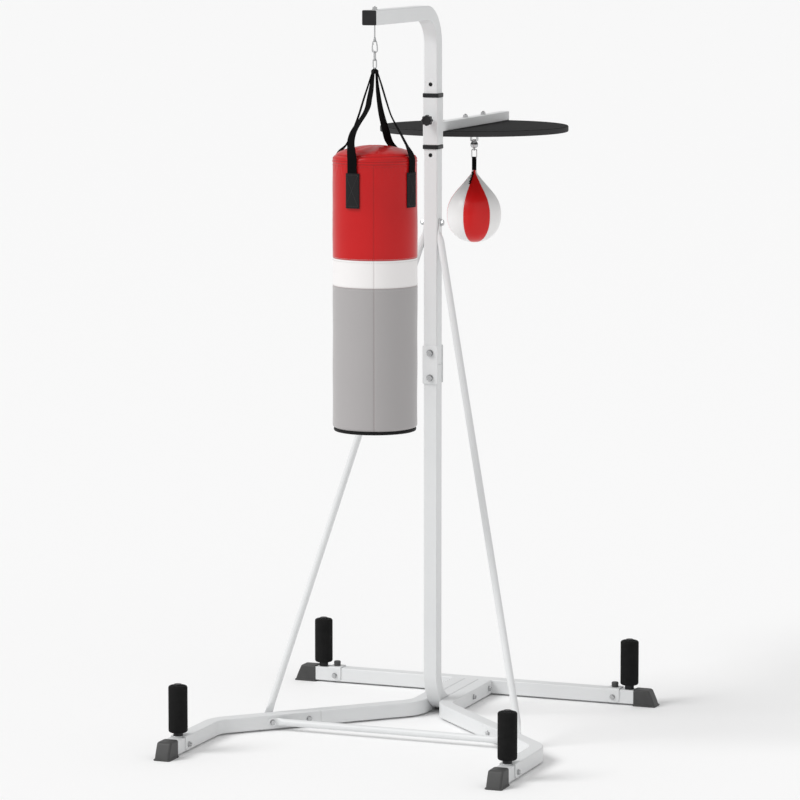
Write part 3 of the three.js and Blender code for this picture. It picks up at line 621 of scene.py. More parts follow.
half = tube["side"] / 2
clear = 0.3 * mm
mastY = middle("upper_bush")[1]
baseZ = corners("lower_post")[0][2] + half
hang = level(middle("punching_bag"))
stage = level(middle("platform"))
rearY = corners("rear_cross_tube")[1][1] - half
armZ = corners("upper_mast")[1][2] - half
legBend = {"out": 45.5 * mm, "forward": 20 * mm}
spigotSide = 40.4 * mm
legSeam = {"at": 336 * mm, "spigot": 75 * mm, "bolt": 376 * mm, "brace": 500 * mm}


def onLeg(side, distance, offset=0.0):
    # a point on a leg's diagonal, so far from its rear bend and so far out of its middle
    start = vector(side * legBend["out"], mastY - legBend["forward"], baseZ)
    return start + unit([side, -1, 0]) * distance + unit([side, 1, 0]) * offset


# ---- frame tubes ----

peg = {"radius": 11 * mm, "neck": 12.5 * mm, "neckTop": 63.7 * mm, "top": 210 * mm, "edge": 1.5 * mm}
postBend = 110 * mm
clip = {"half": 21 * mm, "thick": 3 * mm, "corner": 13 * mm, "foot": 8 * mm, "bend": 3.2 * mm}
lockHole = {"radius": 6.5 * mm, "deep": 6 * mm, "before": 3 * mm, "pitch": 109.5 * mm}
endCap = {"thick": 3 * mm, "edge": 1.4 * mm, "plug": 2.5 * mm, "wall": 3 * mm}
splice = {"corner": 4 * mm, "edge": 0.7 * mm}


def pegPin(skin, place):
    profile = [(0, baseZ + half - mm), (peg["neck"], baseZ + half - mm), (peg["neck"], peg["neckTop"]),
               (peg["radius"], peg["neckTop"])]
    rim = arc((peg["radius"] - peg["edge"], peg["top"] - peg["edge"]), peg["edge"], 0, 90)
    lathe(skin, np.concatenate([profile, rim, [(0, peg["top"])]]), 40, level(place))


def rearCrossTube():
    low, high = corners("rear_cross_tube")
    skin = Skin()
    squareTube(skin, [(low[0], rearY, baseZ), (high[0], rearY, baseZ)], zWay)
    squareTube(skin, [(0, rearY - half + mm, baseZ), (0, low[1], baseZ)], xWay, side=spigotSide)
    for side in (-1, 1):
        pegPin(skin, middle("rear_right_roller") * vector(side, 1, 0))
    piece(skin, "paint", "frame", "rear_cross_tube")


def lowerPost():
    high = corners("lower_post")[1]
    stops = [(0, high[1], baseZ), (0, mastY, baseZ), (0, mastY, high[2])]
    piece(squareTube(Skin(), stops, xWay, bend=postBend, steps=28), "paint", "frame", "lower_post")


def upperMast():
    low = corners("upper_mast")[0]
    stops = [(0, mastY, low[2]), (0, mastY, armZ), (0, low[1], armZ)]
    start, end, radius = -lockHole["before"], lockHole["deep"], lockHole["radius"]
    hole = [(0, start), (radius, start), (radius, end), (0, end)]
    heights = middle("height_knob")[2] + lockHole["pitch"] * np.array([-1, 0, 1])
    holes = [lathe(Skin(), hole, 32, vector(0, mastY - half, height), frameOf(yWay)) for height in heights]
    piece(squareTube(Skin(), stops, xWay, steps=28), "paint", "frame", "upper_mast", cutters=holes)


def innerLeg(hand, side):
    skin = Skin()
    rear = corners(f"{hand}_inner_leg")[1][1]
    stops = [(side * legBend["out"], rear, baseZ), onLeg(side, 0), onLeg(side, legSeam["at"])]
    squareTube(skin, stops, zWay)
    spigot = [onLeg(side, legSeam["at"] - 12 * mm), onLeg(side, legSeam["at"] + legSeam["spigot"])]
    squareTube(skin, spigot, zWay, side=spigotSide)
    piece(skin, "paint", "frame", f"{hand}_inner_leg")


def outerLeg(hand, side):
    skin = Skin()
    front = corners(f"{hand}_outer_leg")[0][1]
    footX = middle(f"front_{hand}_roller")[0]
    reach = abs(footX) - legBend["out"]
    bend = vector(footX, mastY - legBend["forward"] - reach, baseZ)
    stops = [onLeg(side, legSeam["at"] + clear), bend, vector(footX, front, baseZ)]
    squareTube(skin, stops, zWay)
    pegPin(skin, middle(f"front_{hand}_roller"))
    piece(skin, "paint", "frame", f"{hand}_outer_leg")


def splicePlate(place):
    low, high = corners(f"{place}_splice_plate")
    wide, deep, tall = high - low

    def outline(inset):
        return roundedOutline(wide - 2 * inset, tall - 2 * inset, splice["corner"] - inset)

    skin = slab(outline, -deep / 2, deep / 2, splice["edge"], (low + high) / 2, (xWay, zWay, -yWay))
    piece(skin, "paint", "frame", f"{place}_splice_plate")


def armEndCap():
    low, high = corners("arm_end_cap")

    def outline(inset):
        return roundedOutline(tube["side"] - 2 * inset, tube["side"] - 2 * inset, tube["corner"] - inset / 2)

    face = vector(0, low[1], armZ)
    skin = slab(outline, 0, endCap["thick"], endCap["edge"], face, (xWay, -zWay, yWay))
    plug = tube["side"] - 2 * tube["wall"] - 2 * clear
    squareTube(skin, [face + yWay * endCap["plug"], (0, high[1], armZ)], xWay, side=plug, wall=endCap["wall"])
    piece(skin, "plastic", "frame", "arm_end_cap")


print("frame tubes")
rearCrossTube()
lowerPost()
upperMast()
for hand, side in (("left", -1), ("right", 1)):
    innerLeg(hand, side)
    outerLeg(hand, side)
splicePlate("front")
splicePlate("rear")
armEndCap()


# ---- braces and front bar ----

bar = {
    "radius": 11 * mm, "tab": 13 * mm, "thin": 2 * mm, "over": 14 * mm, "press": 36 * mm, "bend": 22 * mm,
    "before": 10 * mm, "rim": 1.6 * mm, "rimThick": 0.72, "flatPower": 0.42, "braceFlat": 34 * mm,
    "frontFlat": 17 * mm,
}


def pressedBar(node, start, end, flat):
    # a round bar pressed flat at both ends: its section is a superellipse whose half sizes and
    # power ease from flat to round with the distance from the nearer end
    stops = [start["bolt"] - start["heading"] * bar["over"], start["bolt"] + start["heading"] * flat,
             end["bolt"] + end["heading"] * flat, end["bolt"] - end["heading"] * bar["over"]]
    points, headings = bentRun(stops, bar["bend"], 8)
    length = running(np.linalg.norm(np.diff(points, axis=0), axis=1))
    where = length[-1] * (1 - np.cos(np.linspace(0, np.pi, 260))) / 2
    path, way = along(where, length, points), unit(along(where, length, headings))
    near = np.minimum(where, length[-1] - where)
    pressed = ease((near - bar["over"] - flat + bar["before"]) / bar["press"])
    rounded = np.sqrt(np.clip(bar["tab"] ** 2 - np.clip(bar["tab"] - near, 0, None) ** 2, 0, None))
    wide = np.where(near < bar["tab"], rounded, bar["tab"] + (bar["radius"] - bar["tab"]) * pressed)
    thick = bar["thin"] + (bar["radius"] - bar["thin"]) * pressed
    thick = thick * np.minimum(1, bar["rimThick"] + near / bar["rim"])
    power = (bar["flatPower"] + (1 - bar["flatPower"]) * pressed)[:, None, None]
    rim = circle(1, 32)
    lobe = np.sign(rim) * np.abs(rim) ** power
    section = lobe * np.stack([wide, thick], axis=-1)[:, None]
    normal = start["normal"] + (end["normal"] - start["normal"]) * ease(where / length[-1])[:, None]
    side = unit(np.cross(normal, way))
    piece(Skin().grid(withEnds(carry(section, path, way, side))), "paint", "frame", node)


def flattened(direction, normal):
    # a heading laid in the plane of a pressed end
    return unit(direction - normal * (direction @ normal))


def braces():
    reach = half + clear + bar["thin"]
    topZ = middle("brace_top_bolt")[2]
    for hand, side in (("left", -1), ("right", 1)):
        top = vector(side * reach, mastY, topZ)
        bottom = onLeg(side, legSeam["brace"], reach)
        run = unit(bottom - top)
        topNormal, bottomNormal = vector(side, 0, 0), unit([side, 1, 0])
        pressedBar(
            f"{hand}_brace",
            {"bolt": top, "normal": topNormal, "heading": flattened(run, topNormal)},
            {"bolt": bottom, "normal": bottomNormal, "heading": flattened(-run, bottomNormal)},
            bar["braceFlat"])
    ends = [{"bolt": onLeg(side, legSeam["brace"], -reach), "normal": unit([-side, -1, 0]),
             "heading": unit([-side, 1, 0])} for side in (-1, 1)]
    pressedBar("front_bar", *ends, bar["frontFlat"])


print("braces and front bar")
braces()


# ---- bolts ----

smallBolt = {
    "shank": 4 * mm, "hex": 6.5 * mm, "head": 5.5 * mm, "nut": 6.5 * mm, "tail": 3 * mm, "washer": 9 * mm}
largeBolt = {
    "shank": 5 * mm, "hex": 8.5 * mm, "head": 6.5 * mm, "nut": 8 * mm, "tail": 4 * mm, "washer": 11.5 * mm}
washerThick = 1.5 * mm
thread = {"pitch": 1.25 * mm, "deep": 0.45 * mm, "lead": 1.2 * mm, "point": 1.0 * mm, "under": 2 * mm}
chamfer = {"slope": 0.7, "drop": 0.4 * mm, "crown": 0.95}


def hexPrism(skin, flat, low, high, origin, axes=upright):
    # a hexagon whose corners are cut by a shallow cone: a corner's height falls as its radius grows
    angle = angles(48)
    radius = flat / np.cos(angle % (turn / 6) - turn / 12)
    rim = around(angle)
    cut = high - chamfer["drop"] - (radius - flat) * chamfer["slope"]
    sides = rim * radius[:, None]
    rows = np.array([rim * 0, sides, sides, rim * flat * chamfer["crown"], rim * 0])
    ones = np.ones(len(angle))
    skin.grid(stand(rows, np.array([ones * low, ones * low, cut, ones * high, ones * high]), origin, axes))


def washer(skin, radius, low, high, origin, axes):
    edge = 0.4 * mm
    profile = [(0, low), (radius, low), (radius, high - edge), (radius - edge, high), (0, high)]
    lathe(skin, profile, 36, origin, axes)


def bolt(start, end, size, node, body="frame"):
    # head and washer before start, nut, washer and thread past end
    way = unit(np.subtract(end, start))
    across, up, _ = frameOf(way)
    skin = Skin()
    top = clear + washerThick
    headAxes, nutAxes = (across, -up, -way), (across, up, way)
    for place, axes, tall in ((start, headAxes, size["head"]), (end, nutAxes, size["nut"])):
        washer(skin, size["washer"], clear, top, place, axes)
        hexPrism(skin, size["hex"], top, top + tall, place, axes)
    tip = np.linalg.norm(np.subtract(end, start)) + top + size["nut"] + size["tail"]
    shank, pitch = size["shank"], thread["pitch"]
    crest = np.arange(int(size["tail"] * 1.6 / pitch) + 1) * pitch
    turns = [(shank - depth, tip - thread["lead"] - rise - extra)
             for rise in crest for depth, extra in ((0, 0), (thread["deep"], pitch / 2))][::-1]
    profile = [(0, -thread["under"]), (shank, -thread["under"]),
               (shank, tip - size["tail"] * 1.7 - thread["under"]), *turns, (shank - thread["point"], tip),
               (0, tip)]
    lathe(skin, profile, 28, start, nutAxes)
    piece(skin, "zinc", body, node, sharp=26)


def frameBolts():
    side = half + clear + clip["thick"]
    for place in ("lower", "upper"):
        seat = vector(0, mastY, middle(f"{place}_splice_bolt")[2])
        bolt(seat - yWay * side, seat + yWay * side, largeBolt, f"{place}_splice_bolt")
    wide = legBend["out"] + half
    for place in ("front", "rear"):
        seat = vector(0, middle(f"{place}_centre_bolt")[1], baseZ)
        bolt(seat - xWay * wide, seat + xWay * wide, smallBolt, f"{place}_centre_bolt")
    reach = half + clear + 2 * bar["thin"]
    seat = vector(0, mastY, middle("brace_top_bolt")[2])
    bolt(seat + xWay * reach, seat - xWay * reach, largeBolt, "brace_top_bolt")
    for hand, sign in (("left", -1), ("right", 1)):
        for node, at, out in (("leg_bolt", legSeam["bolt"], half), ("brace_bolt", legSeam["brace"], reach)):
            bolt(onLeg(sign, at, -out), onLeg(sign, at, out), smallBolt, f"{hand}_{node}")
        rear = middle(f"rear_{hand}_clip_bolt")
        seat = vector(rear[0], rearY, rear[2])
        bolt(seat - yWay * side, seat + yWay * side, smallBolt, f"rear_{hand}_clip_bolt")
        front = middle(f"front_{hand}_clip")
        seat = vector(front[0], front[1], rear[2])
        bolt(seat + xWay * sign * side, seat - xWay * sign * side, smallBolt, f"front_{hand}_clip_bolt")


print("bolts")
frameBolts()


# ---- feet ----

boot = {
    "flare": 54 * mm, "wide": 48 * mm, "long": 77 * mm, "topLong": 53 * mm, "high": 53 * mm,
    "pocket": 48 * mm, "sole": 5 * mm, "corner": 7 * mm, "crown": 6 * mm, "tread": 3.6 * mm,
    "treadEase": 2.2 * mm,
    "treadOut": 3.2 * mm, "toe": 4 * mm, "slope": 1.15,
}
roller = {"radius": 29 * mm, "rim": 7 * mm, "bore": 11.6 * mm, "swell": 0.25 * mm}


def footBoot(node, heel, outward):
    # a moulded boot: each level is a rounded rectangle from the heel to a toe that slopes back with height
    toward = unit(outward)
    axes = (toward, np.cross(zWay, toward), zWay)
    lift = np.concatenate([[0, 0.4, 1.2, 3.4, 4.6, 5.6], np.linspace(8, 45, 8)]) * mm
    crown = np.linspace(0, np.pi / 2, 7)
    levels = np.concatenate([lift, boot["high"] - boot["crown"] * (1 - np.sin(crown))])
    inset = np.zeros(len(lift))
    inset[:2] = 0.8 * mm, 0.25 * mm
    inset = np.concatenate([inset, boot["crown"] * (1 - np.cos(crown))])
    slope = np.clip((levels - boot["sole"]) / (boot["high"] - boot["sole"]), 0, 1)
    flared = 1 - ease((levels - boot["tread"]) / boot["treadEase"])
    drawn = np.where(levels < boot["tread"], 0, boot["treadOut"] * (1 - flared))
    long = boot["long"] - drawn - (boot["long"] - boot["toe"] - boot["topLong"]) * slope ** boot["slope"]
    wide = boot["wide"] + (boot["flare"] - boot["wide"]) * flared
    rows = np.array([
        roundedOutline(length - 2 * edge, width - 2 * edge, boot["corner"] - 0.5 * edge, 6)
        + np.array([length / 2, 0]) for length, width, edge in zip(long, wide, inset)])
    room = half + clear
    pocket = roundedOutline(boot["pocket"] + 2 * mm, 2 * room, tube["corner"], 5)
    pocket = pocket + np.array([boot["pocket"] / 2 - mm, 0])
    well = stand(np.array([pocket, pocket]), [baseZ - room, baseZ + room], heel, axes)
    piece(Skin().grid(withEnds(stand(rows, levels, heel, axes))), "rubber", "frame", node,
          cutters=[Skin().grid(withEnds(well))], sharp=40)


def foamRoller(place, hand):
    node = f"{place}_{hand}_roller"
    low, high = (corner[2] for corner in corners(node))
    radius, rim, bore = roller["radius"], roller["rim"], roller["bore"]
    outer = np.concatenate([arc((radius - rim, low + rim), rim, -90, 0, 8),
                            arc((radius - rim, high - rim), rim, 0, 90, 8)])
    inner = np.concatenate([arc((bore + mm, high - mm), mm, 90, 180, 3),
                            arc((bore + mm, low + mm), mm, 180, 270, 3)])
    outer[:, 0] += roller["swell"] * np.sin((outer[:, 1] - low) / (high - low) * np.pi)
    skin = lathe(Skin(), np.concatenate([outer, inner]), 72, level(middle(node)), closed=True)
    piece(skin, "foam", f"{place}_{hand}_foam", node)


def saddleClip(node, centre, way, pegHole=None):
    # a strap folded over the tube: its section runs up one side, over the top and down the other,
    # and its width draws in round the lower corners
    reach = half + clear + clip["thick"] / 2
    foot = clip["foot"] - baseZ
    across = np.cross(zWay, way)
    folds = ((-reach, foot), (-reach, reach), (reach, reach), (reach, foot))
    stops = [across * out + zWay * up for out, up in folds]
    points, headings = bentRun(stops, clip["bend"], 8)
    length = running(np.linalg.norm(np.diff(points, axis=0), axis=1))
    low = clip["corner"] * (1 - np.cos(np.linspace(0, np.pi / 2, 9)))
    where = np.unique(np.concatenate([low, length[1:-1], length[-1] - low]))
    near = np.minimum(where, length[-1] - where)
    drawn = np.clip(clip["corner"] - near, 0, None)
    wide = clip["half"] - clip["corner"] + np.sqrt(np.clip(clip["corner"] ** 2 - drawn ** 2, 0, None))
    sections = np.array([roundedOutline(2 * width, clip["thick"], 0.8 * mm, 3) for width in wide])
    strip = carry(sections, along(where, length, points), unit(along(where, length, headings)), way)
    holes = []
    if pegHole is not None:
        radius, deep = peg["neck"] + 0.5 * mm, 30 * mm
        holes.append(lathe(Skin(), [(0, 0), (radius, 0), (radius, deep), (0, deep)], 40, pegHole))
    piece(Skin().grid(withEnds(centre + strip)), "paint", "frame", node, cutters=holes)


def clipPlug(hand):
    node = f"rear_{hand}_clip_plug"
    low, high = corners(node)
    radius, foot, top = (high[0] - low[0]) / 2, low[2], high[2]
    groove = [(0.5, 0), (0, 0.6), (0, 4), (0.8, 4.8), (0.8, 6), (0, 6.8)]
    side = [(radius - inset * mm, foot + rise * mm) for inset, rise in groove]
    rim = arc((radius - 3 * mm, top - 3 * mm), 3 * mm, 0, 90, 6)
    face = top - 0.4 * mm
    profile = np.concatenate([[(0, foot)], side, rim, [(radius - 5 * mm, face), (0, face)]])
    piece(lathe(Skin(), profile, 48, level(middle(node))), "rubber", "frame", node)


def pegCollar(place, hand):
    # a moulded collar round each peg's neck, between the tube or its clip and the roller
    low = (corners(f"front_{hand}_clip")[1][2] if place == "front" else baseZ + half) + clear
    high = corners(f"{place}_{hand}_roller")[0][2] - 0.6 * mm
    inner, outer = peg["neck"] + 0.2 * mm, peg["neck"] + 2 * mm
    profile = [(inner, low), (outer, low), (outer, high - mm), (outer - mm, high), (inner, high)]
    skin = lathe(Skin(), profile, 48, level(middle(f"{place}_{hand}_roller")), closed=True)
    piece(skin, "plastic", "frame", name=f"{place}{hand.title()}Collar")


def pegCap(place, hand):
    # a moulded plug in the end of each peg, level with the roller's top
    low, rim = corners(f"{place}_{hand}_roller")[1][2] + 0.4 * mm, peg["radius"] + 1.8 * mm
    top, hole, seat = peg["top"] + 1.6 * mm, peg["radius"] + 0.1 * mm, peg["top"] + 0.2 * mm
    profile = [(hole, low), (rim, low), (rim, top - 1.6 * mm), (rim - 1.2 * mm, top - 0.3 * mm),
               (rim - 3 * mm, top), (rim - 4 * mm, top - 0.7 * mm), (0, top - 0.7 * mm), (0, seat),
               (hole, seat)]
    skin = lathe(Skin(), profile, 48, level(middle(f"{place}_{hand}_roller")), closed=True)
    piece(skin, "plastic", "frame", name=f"{place}{hand.title()}PegCap")


def feet():
    for hand, sign in (("left", -1), ("right", 1)):
        low, high = corners(f"rear_{hand}_boot")
        footBoot(f"rear_{hand}_boot", vector(low[0] if sign > 0 else high[0], rearY, 0), xWay * sign)
        heel = middle(f"front_{hand}_boot") * xWay + yWay * corners(f"front_{hand}_boot")[1][1]
        footBoot(f"front_{hand}_boot", heel, -yWay)
        saddleClip(f"rear_{hand}_clip", vector(middle(f"rear_{hand}_clip")[0], rearY, baseZ), xWay)
        hole = level(middle(f"front_{hand}_roller")) + zWay * (baseZ + half - 5 * mm)
        saddleClip(f"front_{hand}_clip", level(middle(f"front_{hand}_clip")) + zWay * baseZ, yWay, hole)
        clipPlug(hand)
        for place in ("rear", "front"):
            foamRoller(place, hand)
            pegCollar(place, hand)
            pegCap(place, hand)


print("feet, clips and rollers")
feet()


# ---- height sleeve and platform ----

sleeve = {
    "side": 50 * mm, "inside": 45.6 * mm, "boss": 10 * mm, "bossOut": 43 * mm, "bossHigh": 18 * mm,
    "bossBore": 5.4 * mm, "weld": 0.5 * mm, "arm": 29.7 * mm, "armWall": 1.6 * mm, "armCorner": 3 * mm,
}
bush = {"side": 52 * mm, "edge": 2 * mm, "corner": 5 * mm, "gap": 0.1 * mm, "innerCorner": 3 * mm}
knob = {"lobes": 8, "radius": 15.6 * mm, "wave": 1.4 * mm, "edge": 3 * mm, "pin": 5 * mm}
disc = {"edge": 3 * mm, "columns": 192, "arm": 30 * mm}


def heightSleeve():
    low, high = corners("height_sleeve")
    skin = Skin()
    wall = (sleeve["side"] - sleeve["inside"]) / 2
    squareTube(skin, [(0, mastY, low[2]), (0, mastY, high[2])], xWay, side=sleeve["side"], wall=wall)
    radius, tall, bore, weld = sleeve["boss"], sleeve["bossHigh"], sleeve["bossBore"], sleeve["weld"]
    boss = [(bore, weld), (radius + 3 * mm, weld), (radius + 0.8 * mm, 2 * mm), (radius, 4 * mm),
            (radius, tall - 0.8 * mm), (radius - 0.8 * mm, tall), (bore, tall)]
    face = vector(0, mastY - sleeve["side"] / 2, middle("height_knob")[2])
    lathe(skin, boss, 40, face, (xWay, zWay, -yWay), closed=True)
    rise = corners("platform")[1][2] + clear + sleeve["arm"] / 2
    arm = [(0, mastY + sleeve["side"] / 2 - weld, rise), (0, high[1], rise)]
    squareTube(skin, arm, xWay, side=sleeve["arm"], wall=sleeve["armWall"], corner=sleeve["armCorner"])
    piece(skin, "paint", "platform_carriage", "height_sleeve")


def guideBush(place):
    # a square ring: one outline outside, one inside, both with rounded rims
    low, high = (corner[2] for corner in corners(f"{place}_bush"))
    edge = bush["edge"]
    angle = np.linspace(0, np.pi / 2, 5)
    fall, inset = edge * (1 - np.cos(angle)), edge * (1 - np.sin(angle))
    outer = [roundedOutline(bush["side"] - 2 * i, bush["side"] - 2 * i, bush["corner"] - i / 2)
             for i in np.concatenate([inset, inset[::-1]])]
    hole = roundedOutline(sleeve["inside"] + bush["gap"], sleeve["inside"] + bush["gap"], bush["innerCorner"])
    heights = np.concatenate([low + fall, high - fall[::-1], [high, low]])
    rows = stand(np.array([*outer, hole, hole]), heights, yWay * mastY)
    piece(Skin().grid(rows, closeRows=True), "plastic", "platform_carriage", f"{place}_bush")


def heightKnob():
    # scalloped outline: the radius waves once for each lobe; the face is dished
    low, high = corners("height_knob")
    angle = angles(144)
    face, back, tip = -low[1], -(mastY - sleeve["bossOut"] - clear), -high[1]

    def outline(inset):
        radius = knob["radius"] - inset + (knob["wave"] - 0.25 * inset) * np.cos(angle * knob["lobes"])
        return radius[:, None] * around(angle)

    lift = np.linspace(0, np.pi / 2, 6)
    insets = np.concatenate([[mm, 0], knob["edge"] * (1 - np.cos(lift)), [5.5 * mm, 7 * mm]])
    heights = np.concatenate([[back, back + mm], face - knob["edge"] + knob["edge"] * np.sin(lift),
                              [face - 0.2 * mm, face - 1.2 * mm]])
    rows, heights = capped(np.array([outline(inset) for inset in insets]), heights)
    place, axes = zWay * middle("height_knob")[2], (xWay, zWay, -yWay)
    skin = Skin().grid(stand(rows, heights, place, axes))
    pin, root = knob["pin"], back - 0.5 * mm
    profile = [(0, root), (pin, root), (pin, tip + 0.8 * mm), (pin - 0.8 * mm, tip), (0, tip)]
    lathe(skin, profile, 32, place, axes)
    piece(skin, "plastic", "locking_knob", "height_knob", sharp=50)


def platformDisc():
    low, high = corners("platform")
    radius, edge = (high[0] - low[0]) / 2, disc["edge"]
    profile = np.concatenate([
        [(0, low[2]), (radius * 0.5, low[2])], arc((radius - edge, low[2] + edge), edge, -90, 0, 6),
        arc((radius - edge, high[2] - edge), edge, 0, 90, 6), [(radius * 0.5, high[2]), (0, high[2])]])
    skin = lathe(Skin(), profile, disc["columns"], stage)
    piece(skin, "board", "platform_carriage", "platform", name="platformDisc")


def platformBolts():
    low, high = (corner[2] for corner in corners("platform"))
    for place in ("front", "rear"):
        seat = yWay * middle(f"{place}_platform_bolt")[1]
        bolt(seat + zWay * low, seat + zWay * (high + disc["arm"]), smallBolt, f"{place}_platform_bolt",
             "platform_carriage")


print("height sleeve and platform")
heightSleeve()
for place in ("lower", "upper"):
    guideBush(place)
heightKnob()
platformDisc()
platformBolts()


# ---- wire links ----


def wireRing(skin, outline, wire, columns=16):
    # a round wire along a closed curve; outline is a loop of points and across its plane's normal
    points, across = outline
    ahead = unit(np.roll(points, -1, axis=0) - np.roll(points, 1, axis=0))
    rows = carry(circle(wire / 2, columns), points, ahead, across)
    return skin.grid(rows, closeRows=True)


hook = {"taper": 0.22, "point": 2.2 * mm, "power": 8}


def linkLoop(low, high, wide, wire, across, sharpTop=0.0):
    # half rounds joined by straight sides; a sharp top draws the upper part in towards a point
    radius = (wide - wire) / 2
    straight = (high - low) / 2 - wire / 2 - radius
    out, rise = circle(1, 64).T
    lifted = rise * radius + np.sign(np.round(rise, 6)) * straight
    share = np.clip((lifted / (straight + radius) + 1) / 2, 0, 1)
    out = out * radius * (1 + hook["taper"] * sharpTop - sharpTop * share ** 3)
    lifted = lifted + sharpTop * hook["point"] * np.clip(rise, 0, 1) ** hook["power"]
    sideWay = np.cross(across, zWay)
    return out[:, None] * sideWay + (lifted + (low + high) / 2)[:, None] * zWay, across


eye = {"rise": 7.5 * mm, "radius": 5.5 * mm, "wire": 4 * mm, "shank": 2.1 * mm}
flange = {"radius": 8.5 * mm, "edge": 1.2 * mm, "top": 2.2 * mm, "topRadius": 7.4 * mm, "hex": 6.5 * mm}
gate = {
    "foot": 5 * mm, "top": 27 * mm, "collar": 2.5 * mm, "long": 6 * mm, "hinge": 2.0 * mm, "half": 2.7 * mm}
linkWire = 3.6 * mm


def hangerEyebolt():
    low, high = (corner[2] for corner in corners("hanger_eyebolt"))
    seat, shank = armZ + half + clear, eye["shank"]
    centre = low + eye["rise"]
    across, up = circle(eye["radius"], 48).T[:, :, None]
    skin = wireRing(Skin(), (hang + zWay * centre + across * yWay + up * zWay, xWay), eye["wire"])
    neck = centre + eye["radius"]
    turns = [(shank - depth, high - mm - rise - extra)
             for rise in np.arange(5) * 0.8 * mm for depth, extra in ((0, 0), (0.3 * mm, 0.4 * mm))][::-1]
    lathe(skin, [(0, neck - mm), (shank + mm, neck), (shank, neck + 3 * mm), (shank, high - 6.5 * mm), *turns,
                 (shank - 0.6 * mm, high), (0, high)], 28, hang)
    lathe(skin, [(0, seat), (flange["radius"], seat), (flange["radius"], seat + flange["edge"]),
                 (flange["topRadius"], seat + flange["top"]), (0, seat + flange["top"])], 40, hang)
    hexPrism(skin, flange["hex"], seat + mm, seat + 8 * mm, hang)
    piece(skin, "zinc", "bag_hanger", "hanger_eyebolt", sharp=26)


def wireLoop(node, across, sharpTop=0.0):
    low, high = corners(node)
    wide = max(high[:2] - low[:2])
    points, across = linkLoop(low[2], high[2], wide, linkWire, across, sharpTop)
    return wireRing(Skin(), (points + hang, across), linkWire)


def snapHook():
    low, high = corners("carabiner")
    skin = wireLoop("carabiner", yWay, 0.6)
    left = -(high[0] - low[0]) / 2 + linkWire / 2
    radius, tall, edge = gate["collar"], gate["long"], 0.3 * mm
    collar = [(0, 0), (radius - edge, 0), (radius, 0.5 * mm), (radius, tall - 0.5 * mm),
              (radius - edge, tall), (0, tall)]
    foot = vector(left + 0.3 * mm, 0, low[2] + gate["foot"])
    lathe(skin, collar, 28, hang + foot, frameOf(vector(0.06, 0, 1)))
    radius, end = gate["hinge"], gate["half"]
    hinge = [(0, -end), (radius - edge, -end), (radius, edge - end), (radius, end - edge),
             (radius - edge, end), (0, end)]
    lathe(skin, hinge, 20, hang + vector(0.8 * left, 0, low[2] + gate["top"]), frameOf(yWay))
    piece(skin, "zinc", "bag_carabiner", "carabiner", name="snapHook", sharp=40)


print("hanging hardware")
hangerEyebolt()
snapHook()
piece(wireLoop("chain_link", xWay), "zinc", "bag", "chain_link")
piece(wireLoop("bag_ring", yWay), "zinc", "bag", "bag_ring")


# ---- speed ball and swivel ----

teardrop = {
    "bottom": 1465 * mm, "wide": 1550 * mm, "radius": 86.8 * mm, "columns": 216, "roundPower": 0.88,
    "valley": 1.3 * mm, "ridge": 0.35 * mm, "ridgeAt": 3.4 * mm, "ridgeReach": 1.6 * mm, "puff": 0.8 * mm,
    "plain": 24 * mm,
    "upper": [(85.6, 1572), (77.9, 1597), (62.4, 1622), (41.4, 1646.5), (20.8, 1671),
              (9.6, 1686), (8, 1695.4)],
}


def speedBall():
    # a teardrop's outline turned once; each seam is a shallow valley between two sewn ridges
    drop = teardrop["wide"] - teardrop["bottom"]
    lower = [(teardrop["radius"] * np.cos(a) ** teardrop["roundPower"], teardrop["wide"] + drop * np.sin(a))
             for a in np.radians(np.arange(-90, 1, 11.25))]
    upper = [(radius * mm, height * mm) for radius, height in teardrop["upper"]]
    outline = throughPoints(lower + upper, 120)
    outline[0, 0] = 0
    reach = outline[:, :1]
    angle = angles(teardrop["columns"])
    step = turn / ball["panels"]
    offSeam = (angle - np.radians(ball["firstSeam"]) + step / 2) % step - step / 2
    gauge = np.abs(offSeam)[None] * reach
    valley = teardrop["valley"] * np.exp(-(gauge / teardrop["valley"]) ** 2)
    ridge = teardrop["ridge"] * np.exp(-((gauge - teardrop["ridgeAt"]) / teardrop["ridgeReach"]) ** 2)
    share = np.clip(gauge / (reach * step / 2 + 1e-6), 0, 1)
    puff = teardrop["puff"] * (np.sin(share * np.pi / 2) - 1)
    radius = reach + (ridge - valley + puff) * ease(reach / teardrop["plain"])
    rows = turned(np.clip(radius, 0, None), outline[:, 1], angle, stage)
    tip = np.broadcast_to(stage + zWay * outline[-1, 1], rows[:1].shape)
    made = piece(Skin().grid(np.concatenate([rows, tip])), "ball", "ball", "speed_ball", sharp=60)
    return outline


def capsules(skin, places, ways, length, radius, columns=6):
    # short round-ended threads, one grid for each place
    lift = np.array([-1, -0.82, -0.4, 0.4, 0.82, 1]) * length / 2
    girth = np.array([0, 0.7, 1, 1, 0.7, 0]) * radius
    rows = girth[:, None, None] * circle(1, columns)[None]
    for place, way in zip(places, ways):
        skin.grid(stand(rows, lift, place, frameOf(way)))
    return skin


lacing = {
    "low": 1655 * mm, "high": 1690 * mm, "rows": 9, "long": 9.5 * mm, "thick": 1.7 * mm, "spine": 1.6 * mm}


